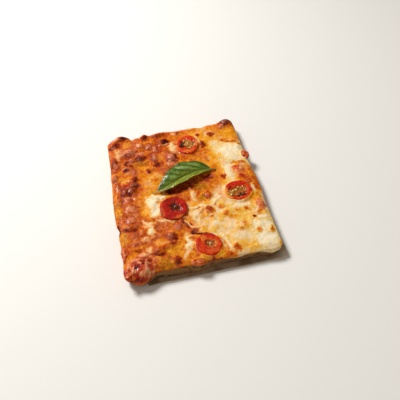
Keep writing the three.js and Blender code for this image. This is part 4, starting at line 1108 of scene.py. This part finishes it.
def tomato_half(tomato, pulp, name):
    seed = tomato["x"] * 3.1
    skin_radius, skin_level = through(SKIN_STATIONS, np.linspace(0.12, 4.0, SKIN_RINGS)).T
    face_radius = np.linspace(0.93, 0.02, FACE_RINGS)
    face_level = np.interp(face_radius, *np.transpose(FACE_STATIONS))
    radius = np.concatenate([skin_radius, face_radius])[:, None]
    level = np.concatenate([skin_level, face_level])[:, None]
    on_face = np.concatenate([np.zeros(SKIN_RINGS), np.ones(FACE_RINGS)])[:, None]
    outer_skin = 1 - on_face
    angle = np.arange(TOMATO_AROUND) / TOMATO_AROUND * 2 * math.pi + 0 * radius
    across, along = radius * np.cos(angle), radius * np.sin(angle)
    flat_x, flat_y = across * USUAL_RADIUS, along * USUAL_RADIUS
    around = angle * USUAL_RADIUS
    warp = crumple(flat_x + seed, flat_y, 4.0, 120, 3)

    pocket, pale, weight = np.zeros_like(angle), 0.0, 1e-6
    for *oval, gel in pulp["pockets"]:
        inside = (1 - step(0.6, 1.15, distance_to(across, along, *oval) + 0.3 * warp)) * on_face
        pale, weight = pale + inside * gel, weight + inside
        pocket = np.maximum(pocket, inside)
    pale = pale / weight
    patches = {"amber": np.zeros_like(angle), "char": np.zeros_like(angle)}
    for kind, *oval, amount in pulp["patches"]:
        patch = 1 - step(0.4, 1.2, distance_to(across, along, *oval) + 0.2 * warp)
        patches[kind] = np.maximum(patches[kind], amount * patch)

    gel_lumps = crumple(flat_x, flat_y + seed, 1.5, 130, 2)
    flesh = (1 - pocket) * on_face
    fibre = crumple(around, radius * 6 + seed, 1.6, 140, 3)
    height = level + pocket * (GEL_LUMPS * gel_lumps - POCKET_DEPTH)
    height = height + flesh * (FIBRE_RELIEF * fibre + FLESH_RELIEF * warp)
    wrinkle = crumple(around + seed, level * 0.8, 2.6, 150, 3)
    wide = radius * tomato_outline(tomato, angle)
    wide = wide * (1 + 0.02 * wrinkle * outer_skin) + 0.006 * fibre * step(0.7, 0.93, radius)
    sagged = crumple(np.cos(angle) * USUAL_RADIUS + seed, np.sin(angle) * USUAL_RADIUS, 5.0, 160, 2)
    height = height + SAG * sagged * step(0.6, 0.9, radius)

    off_x, off_y = [amount * (1 - radius) * on_face for amount in pulp["off"]]
    x = wide * tomato["rx"] * np.cos(angle) + off_x
    y = wide * tomato["ry"] * np.sin(angle) + off_y
    poles = np.array([[0.0, 0.0, SKIN_STATIONS[0][1]], [*pulp["off"], height[-1].mean()]])
    points = np.concatenate([np.stack([x, y, height], -1).reshape(-1, 3), poles])
    points = turn_by(points, tomato["lean"], tomato["turn"], (tomato["x"], tomato["y"], tomato["rim"]))
    ripe = pulp["ripe"] + 0.16 * fibre * flesh + 0.10 * warp + 0.12 * outer_skin
    masks = {"pocket": pocket, "pale": pale, "ripe": ripe, **patches}
    for mask, values in masks.items():
        masks[mask] = np.append(values.ravel(), [values[0, 0], values[-1].mean()])
    return make_piece(name, points, capped_faces(TOMATO_AROUND, SKIN_RINGS + FACE_RINGS), masks)


def roasted_tomato():
    material, tree, place = new_material("roasted_tomato")
    fine = speckle(tree, place, 0.6, 4.0)
    cloud = speckle(tree, place, 3.0, 3.0, 4.0)
    pocket, pale, amber, char, ripe = (
        mask_of(tree, name) for name in ("pocket", "pale", "amber", "char", "ripe")
    )
    ripe = plus(tree, ripe, varied(tree, cloud, -0.16, 0.16))
    colour = ramp(tree, ripe, [
        (0.0, 232, 100, 26),
        (0.28, 216, 58, 14),
        (0.50, 196, 28, 6),
        (0.75, 158, 14, 3),
        (1.0, 96, 8, 2),
    ])
    colour = blend(tree, amber, colour, blend(tree, fine, rgb(224, 116, 26), rgb(244, 172, 66)))
    gel = ramp(tree, plus(tree, pale, varied(tree, fine, -0.15, 0.15)), [
        (0.0, 84, 20, 4),
        (0.35, 124, 48, 10),
        (0.65, 166, 86, 20),
        (1.0, 190, 124, 44),
    ])
    colour = blend(tree, pocket, colour, gel)
    # Dark patches: partly scorch, partly painted shade
    charred_and_shaded = times(tree, char, spread(tree, cloud, 0.3, 0.6, 0.6, 1.0))
    colour = blend(tree, charred_and_shaded, colour, rgb(70, 14, 4))
    wet = spread(tree, speckle(tree, place, 1.6, 2.0, 13.0), 0.48, 0.58, 0.0, 0.8)
    relief = bump(tree, fine, 0.07, bump(tree, cloud, 0.2))
    glow = (0.08, (1.0, 0.2, 0.08), 1.2)
    shine = {"Specular IOR Level": 0.1, "Coat Weight": wet, "Coat Roughness": 0.1}
    surface(tree, colour, varied(tree, cloud, 0.3, 0.46), relief, glow, shine)
    return material


def lay_tomatoes():
    material = roasted_tomato()
    halves = []
    for number, (tomato, pulp) in enumerate(zip(TOMATOES, TOMATO_PULP), 1):
        half = tomato_half(tomato, pulp, f"roasted_tomato_half_{number}")
        serve(half, material, "cherry_tomato", f"cherry_tomato_half_{number}")
        halves.append(half)
    return halves


halves = lay_tomatoes()

# ------------------------------------------------------------------ tomato seeds
# The seeds left in the pockets of the tomato halves: flat cream teardrops, some pale, some
# browned by the oven, lying every way round in what is left of the gel.

SEED_LENGTH = 2.1
SEED_HALF_WIDTH = 0.34 * SEED_LENGTH
SEED_HALF_THICKNESS = 0.17 * SEED_LENGTH
SEED_LIFT = 0.12 * SEED_LENGTH
SEED_SIZES = (1.1, 1.7)  # the smallest and the largest, times that length
SEED_TILT = 0.6
SEED_DRAW = 4
SEED_SPACING = 1.5
SEED_AROUND = 12
SEED_RINGS = 7
DOTS_TRIED = 3.0e5  # a square metre, before those too close to another are left out


def seed_shape():
    """One seed, a flat teardrop along X, pointed at one end."""
    t = (np.arange(SEED_RINGS) + 0.6) / (SEED_RINGS + 0.2)
    swell = np.sin(math.pi * t**1.35)[:, None]
    angle = np.arange(SEED_AROUND) / SEED_AROUND * 2 * math.pi
    along = ((t - 0.5) * SEED_LENGTH)[:, None] + 0 * angle
    across = SEED_HALF_WIDTH * swell * np.cos(angle)
    up = SEED_HALF_THICKNESS * swell * np.sin(angle) + SEED_LIFT
    rings = np.stack([along, across, up], -1)
    ends = [[-SEED_LENGTH / 2, 0.0, SEED_LIFT], [SEED_LENGTH / 2, 0.0, SEED_LIFT]]
    points = np.concatenate([rings.reshape(-1, 3), ends])
    return make_piece("one_seed", points, capped_faces(SEED_AROUND, SEED_RINGS))


def strewing_tree(name, beds, shape, mask):
    """Geometry Nodes that strew copies of a shape over surfaces, where a mask allows it."""
    tree = bpy.data.node_groups.new(name, "GeometryNodeTree")
    tree.interface.new_socket("Strewn", in_out="OUTPUT", socket_type="NodeSocketGeometry")
    tree.interface.new_socket("Geometry", in_out="INPUT", socket_type="NodeSocketGeometry")
    for label in ("Spacing", "Smallest", "Largest", "Tilt"):
        tree.interface.new_socket(label, in_out="INPUT", socket_type="NodeSocketFloat")
    tree.interface.new_socket("Random Seed", in_out="INPUT", socket_type="NodeSocketInt")
    tree.interface.new_socket("Finish", in_out="INPUT", socket_type="NodeSocketMaterial")
    given = add(tree, "NodeGroupInput").outputs
    ground = add(tree, "GeometryNodeJoinGeometry")
    for bed in beds:
        lying = add(tree, "GeometryNodeObjectInfo", {"Object": bed})
        tree.links.new(lying.outputs["Geometry"], ground.inputs[0])
    allowed = add(tree, "GeometryNodeInputNamedAttribute", {"Name": mask}, data_type="FLOAT")
    dots = add(tree, "GeometryNodeDistributePointsOnFaces", distribute_method="POISSON")
    for key, value in {"Mesh": ground.outputs[0], "Distance Min": given["Spacing"],
                       "Density Factor": allowed.outputs[0], "Seed": given["Random Seed"]}.items():
        tree.links.new(value, dots.inputs[key])
    dots.inputs["Density Max"].default_value = DOTS_TRIED
    turned = add(tree, "FunctionNodeRandomValue", {
        0: (-1.0, -1.0, -math.pi), 1: (1.0, 1.0, math.pi), "Seed": given["Random Seed"],
    }, data_type="FLOAT_VECTOR")
    leaning = add(tree, "ShaderNodeCombineXYZ", {0: given["Tilt"], 1: given["Tilt"], 2: 1.0})
    tilted = add(tree, "ShaderNodeVectorMath", {
        0: turned.outputs[0], 1: leaning.outputs[0],
    }, operation="MULTIPLY")
    rotation = add(tree, "FunctionNodeRotateRotation", {0: dots.outputs["Rotation"], 1: tilted.outputs[0]})
    rotation.rotation_space = "LOCAL"
    size = add(tree, "FunctionNodeRandomValue", {
        2: given["Smallest"], 3: given["Largest"], "Seed": given["Random Seed"],
    }, data_type="FLOAT")
    one = add(tree, "GeometryNodeObjectInfo", {"Object": shape})
    copies = add(tree, "GeometryNodeInstanceOnPoints", {
        "Points": dots.outputs["Points"], "Instance": one.outputs["Geometry"],
        "Rotation": rotation.outputs[0], "Scale": size.outputs[1],
    })
    own = add(tree, "FunctionNodeRandomValue", data_type="FLOAT")
    marked = add(tree, "GeometryNodeStoreNamedAttribute", {
        "Geometry": copies.outputs[0], "Name": "own", "Value": own.outputs[1],
    }, data_type="FLOAT", domain="INSTANCE")
    real = add(tree, "GeometryNodeRealizeInstances", {0: marked.outputs[0]})
    finish = add(tree, "GeometryNodeSetMaterial", {"Geometry": real.outputs[0], "Material": given["Finish"]})
    add(tree, "NodeGroupOutput", {0: finish.outputs[0]})
    return tree


def strew(name, beds, shape, mask, settings):
    """Strews a shape over beds where a mask is high, and returns it all as one plain piece."""
    piece = make_piece(name, np.zeros((0, 3)), [])
    tree = strewing_tree(name, beds, shape, mask)
    modifier = piece.modifiers.new(name, "NODES")
    modifier.node_group = tree
    for socket in tree.interface.items_tree:
        if socket.name in settings:
            modifier[socket.identifier] = settings[socket.name]
    evaluated = piece.evaluated_get(bpy.context.evaluated_depsgraph_get())
    piece.data = bpy.data.meshes.new_from_object(evaluated)
    piece.data.name = name
    piece.modifiers.clear()
    bpy.data.objects.remove(shape)
    return piece


def dried_seeds():
    material, tree, place = new_material("dried_tomato_seeds")
    fine = speckle(tree, place, 0.5, 3.0)
    tone = plus(tree, mask_of(tree, "pale"), spread(tree, mask_of(tree, "own"), 0.0, 1.0, -0.5, 0.3))
    colour = ramp(tree, plus(tree, tone, varied(tree, fine, -0.1, 0.1)), [
        (0.0, 80, 30, 8),
        (0.30, 134, 66, 20),
        (0.60, 214, 148, 54),
        (1.0, 240, 206, 122),
    ])
    surface(tree, colour, 0.4, bump(tree, fine, 0.06), shine={"Specular IOR Level": 0.3})
    return material


def lay_seeds():
    material = dried_seeds()
    seeds = strew("tomato_seeds", halves, seed_shape(), "pocket", {
        "Spacing": SEED_SPACING * MM, "Smallest": SEED_SIZES[0], "Largest": SEED_SIZES[1],
        "Tilt": SEED_TILT, "Random Seed": SEED_DRAW, "Finish": material,
    })
    serve(seeds, material, "cherry_tomato")


lay_seeds()

# ------------------------------------------------------------------ crushed tomato
# Lumps of crushed tomato from the sauce that came through at the edges, and cooked down to soft
# wet lumps, dark where the oven caught them.

LUMP_AROUND = 84
LUMP_RINGS = 44
LUMP_DENTS = 0.1
LUMP_FOLDS = 0.15


def crushed_lump(chunk, name):
    middle_x, middle_y, middle_z, half_x, half_y, half_z, film = chunk
    polar = (np.arange(LUMP_RINGS) + 0.5)[:, None] / LUMP_RINGS * math.pi
    angle = np.arange(LUMP_AROUND) / LUMP_AROUND * 2 * math.pi
    out, up = np.sin(polar), -np.cos(polar)
    ball = np.stack([out * np.cos(angle), out * np.sin(angle), up + 0 * angle], -1)
    points = np.concatenate([ball.reshape(-1, 3), [[0.0, 0.0, -1.0], [0.0, 0.0, 1.0]]])
    px, py, pz = points.T
    folds = crumple(px * half_x + middle_x, py * half_y + pz * half_z, 2.6, 170, 4)
    dents = np.sin(px * 3 + middle_x) * np.cos(py * 4 + middle_y)
    uneven = 1 + LUMP_DENTS * dents + LUMP_FOLDS * folds
    points = points * uneven[:, None] * [half_x, half_y, half_z] + [middle_x, middle_y, middle_z]
    masks = {"film": film * (1 + 0.5 * folds)}
    return make_piece(name, points, capped_faces(LUMP_AROUND, LUMP_RINGS), masks)


def lay_crushed_tomato():
    dark, bright, filmed = rgb(150, 30, 8), rgb(212, 66, 20), rgb(226, 128, 66)
    material = cooked_sauce("cooked_tomato_lumps", dark, bright, filmed)
    for number, chunk in enumerate(CHUNKS, 1):
        lump = crushed_lump(chunk, f"tomato_lump_{number}")
        serve(lump, material, "crushed_tomato", f"crushed_tomato_{number}")


lay_crushed_tomato()

# ------------------------------------------------------------------ basil leaf
# One whole leaf of sweet basil, laid on after baking. Its tip points left and its short stalk
# right, the veins lie in valleys, and the blade bulges up between them.

LEAF_MIDRIB = [
    (-32, 0.6), (-27.2, 0.9), (-19, 3), (-10.4, 6.6), (-1.8, 10.4),
    (7, 13.9), (16.2, 16.4), (25.6, 17.4), (32.4, 16.8),
]
LEAF_TIP_PART = 0.12
LEAF_STALK_FROM = 0.9
LEAF_BACK_FULLEST = 1.15
LEAF_FRONT_FULLEST = 1.0
LEAF_BLUNT_ENDS = 0.68
LEAF_TIP_WIDTH = 0.45
LEAF_STALK_WIDTH = 0.75
LEAF_BACK = 13.8
LEAF_FRONT = 6.2
LEAF_TIP_REST = 13.8
LEAF_STALK_REST = 13.4
LEAF_ARCH = 3.9
LEAF_BACK_RISE = 4.2
LEAF_FRONT_RISE = 2.2
LEAF_THICKNESS = 0.36
LEAF_STALK_THICKNESS = 1.1
LEAF_RIB_WIDTH = 0.55
LEAF_BULGE = 0.6  # of the blade between its veins
LEAF_QUILT = 0.3
LEAF_GROOVE = 0.35
LEAF_WAVE = 0.5
LEAF_ALONG = 230
LEAF_ACROSS = 97
VEINS = 7.4
VEIN_SLANT = 0.30


def green_leaf():
    material, tree, place = new_material("fresh_basil")
    fine = speckle(tree, place, 0.7, 4.0)
    cloud = speckle(tree, place, 6.0, 3.0)
    back, crest, margin, rib, stalk = (
        mask_of(tree, name) for name in ("back_half", "crest", "margin", "rib", "stalk")
    )
    # Paler on the crests between the veins: a painted highlight, the lamp's sheen on the bulges
    crest = plus(tree, crest, varied(tree, fine, -0.12, 0.12))
    # far is the back half, darker green, painted shade as it tilts away from the lamp; near is the front
    # half, lighter yellow-green, painted light shining through it
    far = ramp(tree, crest, [
        (0.0, 34, 55, 5),
        (0.4, 82, 108, 22),
        (0.75, 120, 144, 62),
        (1.0, 168, 188, 124),
    ])
    near = ramp(tree, crest, [
        (0.0, 88, 100, 4),
        (0.6, 132, 146, 22),
        (1.0, 176, 186, 74),
    ])
    colour = blend(tree, back, near, far)
    # Along the edges: paler on the front half's edge, a painted highlight, and darker olive on the back
    # half's
    olive = blend(tree, back, rgb(176, 178, 78), rgb(64, 82, 16))
    colour = blend(tree, times(tree, margin, 0.8), colour, olive)
    colour = blend(tree, times(tree, rib, 0.7), colour, rgb(150, 168, 78))
    colour = blend(tree, stalk, colour, rgb(116, 104, 36))
    colour = blend(tree, spread(tree, cloud, 0.35, 0.7, 0.0, 0.25), colour, rgb(92, 120, 26))
    roughness = varied(tree, cloud, 0.2, 0.34)
    surface(tree, colour, roughness, bump(tree, fine, 0.12), (0.08, (0.3, 0.8, 0.1), 1.0))
    return material


def lay_leaf():
    across, along = np.meshgrid(
        np.linspace(-1, 1, LEAF_ACROSS), np.linspace(0, 1, LEAF_ALONG), indexing="ij"
    )
    walk = np.linspace(0, len(LEAF_MIDRIB) - 1, LEAF_ALONG)
    middle = through(LEAF_MIDRIB, walk)
    run = np.gradient(middle, axis=0)
    run = run / np.hypot(run[:, 0], run[:, 1])[:, None]
    blade = clamp01((along - LEAF_TIP_PART) / (LEAF_STALK_FROM - LEAF_TIP_PART))
    side = np.abs(across)
    behind = across > 0
    fullest = np.where(behind, LEAF_BACK_FULLEST, LEAF_FRONT_FULLEST)
    swell = clamp01(np.sin(math.pi * blade**fullest)) ** LEAF_BLUNT_ENDS
    width = mix(LEAF_TIP_WIDTH, LEAF_STALK_WIDTH, blade) + swell * np.where(behind, LEAF_BACK, LEAF_FRONT)
    rise = np.where(
        behind,
        LEAF_BACK_RISE * swell * (1.6 * side - 0.6 * side**2),
        LEAF_FRONT_RISE * swell * (1.8 * side - 0.8 * side**2),
    )
    stray = 0.035 * crumple(along * 60, across * 9, 8.0, 180)
    vein = np.abs(np.sin(math.pi * VEINS * (along + VEIN_SLANT * side * swell + stray)))
    crest = vein**0.6 * step(0.02, 0.22, side) * swell
    quilt = crumple(along * 68, across * 10, 3.2, 190, 3)
    groove = bell(side * width / LEAF_RIB_WIDTH)
    relief = LEAF_BULGE * crest * (1 - 0.45 * side) + (LEAF_QUILT * quilt - LEAF_GROOVE * groove) * swell
    waves = LEAF_WAVE * swell * np.sin(along * 30 + side * 3) * side**2
    height = mix(LEAF_TIP_REST, LEAF_STALK_REST, along) + LEAF_ARCH * np.sin(math.pi * along) ** 0.9
    height = height + rise + relief + waves
    edge = width * (1 + 0.015 * np.sin(along * 90) * swell)
    x = middle[:, 0] - run[:, 1] * edge * across
    y = middle[:, 1] + run[:, 0] * edge * across
    on_stalk = step(LEAF_STALK_FROM - 0.02, LEAF_STALK_FROM + 0.02, along)
    half_thick = mix(LEAF_THICKNESS, LEAF_STALK_THICKNESS, on_stalk) / 2
    half_thick = half_thick * np.sqrt(clamp01(1.02 - side**6))
    faces = sheet_faces(LEAF_ACROSS, LEAF_ALONG).tolist()
    points = [np.stack([x, y, height + half], -1).reshape(-1, 3) for half in (half_thick, -half_thick)]
    masks = {
        "back_half": step(0.04, 0.42, across + 0.1 * quilt),
        "crest": crest * (0.75 + 0.35 * quilt),
        "margin": step(0.78, 1.0, side),
        "rib": groove,
        "stalk": on_stalk,
    }
    masks = {name: np.tile(values.ravel(), 2) for name, values in masks.items()}
    leaf = make_piece("basil", np.concatenate(points), faces, masks)
    serve(leaf, green_leaf(), "basil_leaf", "basil_leaf")


lay_leaf()

# ------------------------------------------------------------------ floor, light and camera
# A pale studio table, a large soft lamp behind and to the left of the slice, a weak one in
# front, and the camera above the slice's front left.

# Metres here, but for the camera, which is placed in the slice's own millimetres
FLOOR_HALF = 2.0
FLOOR_COLOUR = (0.93, 0.92, 0.9, 1.0)
LAMPS = {
    "window_lamp": {"place": (-0.55, 0.62, 1.0), "size": 0.4, "power": 16.0, "colour": (1.0, 0.985, 0.96)},
    "fill_lamp": {"place": (-0.5, -0.9, 0.9), "size": 1.2, "power": 0.5, "colour": (1.0, 0.97, 0.93)},
}
ROOM_COLOUR = (1.0, 0.91, 0.78, 1.0)
ROOM_LIGHT = 0.27
CAMERA_PLACE = (-59.404, -288.223, 332.191)
CAMERA_AIM = (10.95, -6.05, 0.0)
CAMERA_SENSOR = 36.0
CAMERA_LENS = 41.85


def direction(place, aim):
    """The rotation that turns a lamp or a camera at place towards aim."""
    return (Vector(aim) - Vector(place)).to_track_quat("-Z", "Y").to_euler()


def lay_table():
    corners = [(x * FLOOR_HALF, y * FLOOR_HALF, 0.0) for x, y in ((-1, -1), (1, -1), (1, 1), (-1, 1))]
    mesh = bpy.data.meshes.new("table_top")
    mesh.from_pydata(corners, [], [(0, 1, 2, 3)])
    table = bpy.data.objects.new("table_top", mesh)
    bpy.context.scene.collection.objects.link(table)
    material, tree, _ = new_material("pale_table")
    surface(tree, FLOOR_COLOUR, 0.7)
    mesh.materials.append(material)


def hang_lamps():
    for name, lamp in LAMPS.items():
        data = bpy.data.lights.new(name, "AREA")
        data.shape = "DISK"
        data.size = lamp["size"]
        data.energy = lamp["power"]
        data.color = lamp["colour"]
        light = bpy.data.objects.new(name, data)
        light.location = lamp["place"]
        light.rotation_euler = direction(lamp["place"], (0.0, 0.0, 0.0))
        bpy.context.scene.collection.objects.link(light)
    world = bpy.data.worlds.new("studio")
    world.use_nodes = True
    room = world.node_tree.nodes["Background"].inputs
    room["Color"].default_value = ROOM_COLOUR
    room["Strength"].default_value = ROOM_LIGHT
    bpy.context.scene.world = world


def place_camera():
    lens = bpy.data.cameras.new("camera")
    lens.sensor_width = CAMERA_SENSOR
    lens.lens = CAMERA_LENS
    camera = bpy.data.objects.new("camera", lens)
    camera.location = [value * MM for value in CAMERA_PLACE]
    camera.rotation_euler = direction(camera.location, [value * MM for value in CAMERA_AIM])
    bpy.context.scene.collection.objects.link(camera)
    bpy.context.scene.camera = camera
    bpy.context.scene.view_settings.view_transform = "Standard"


lay_table()
hang_lamps()
place_camera()
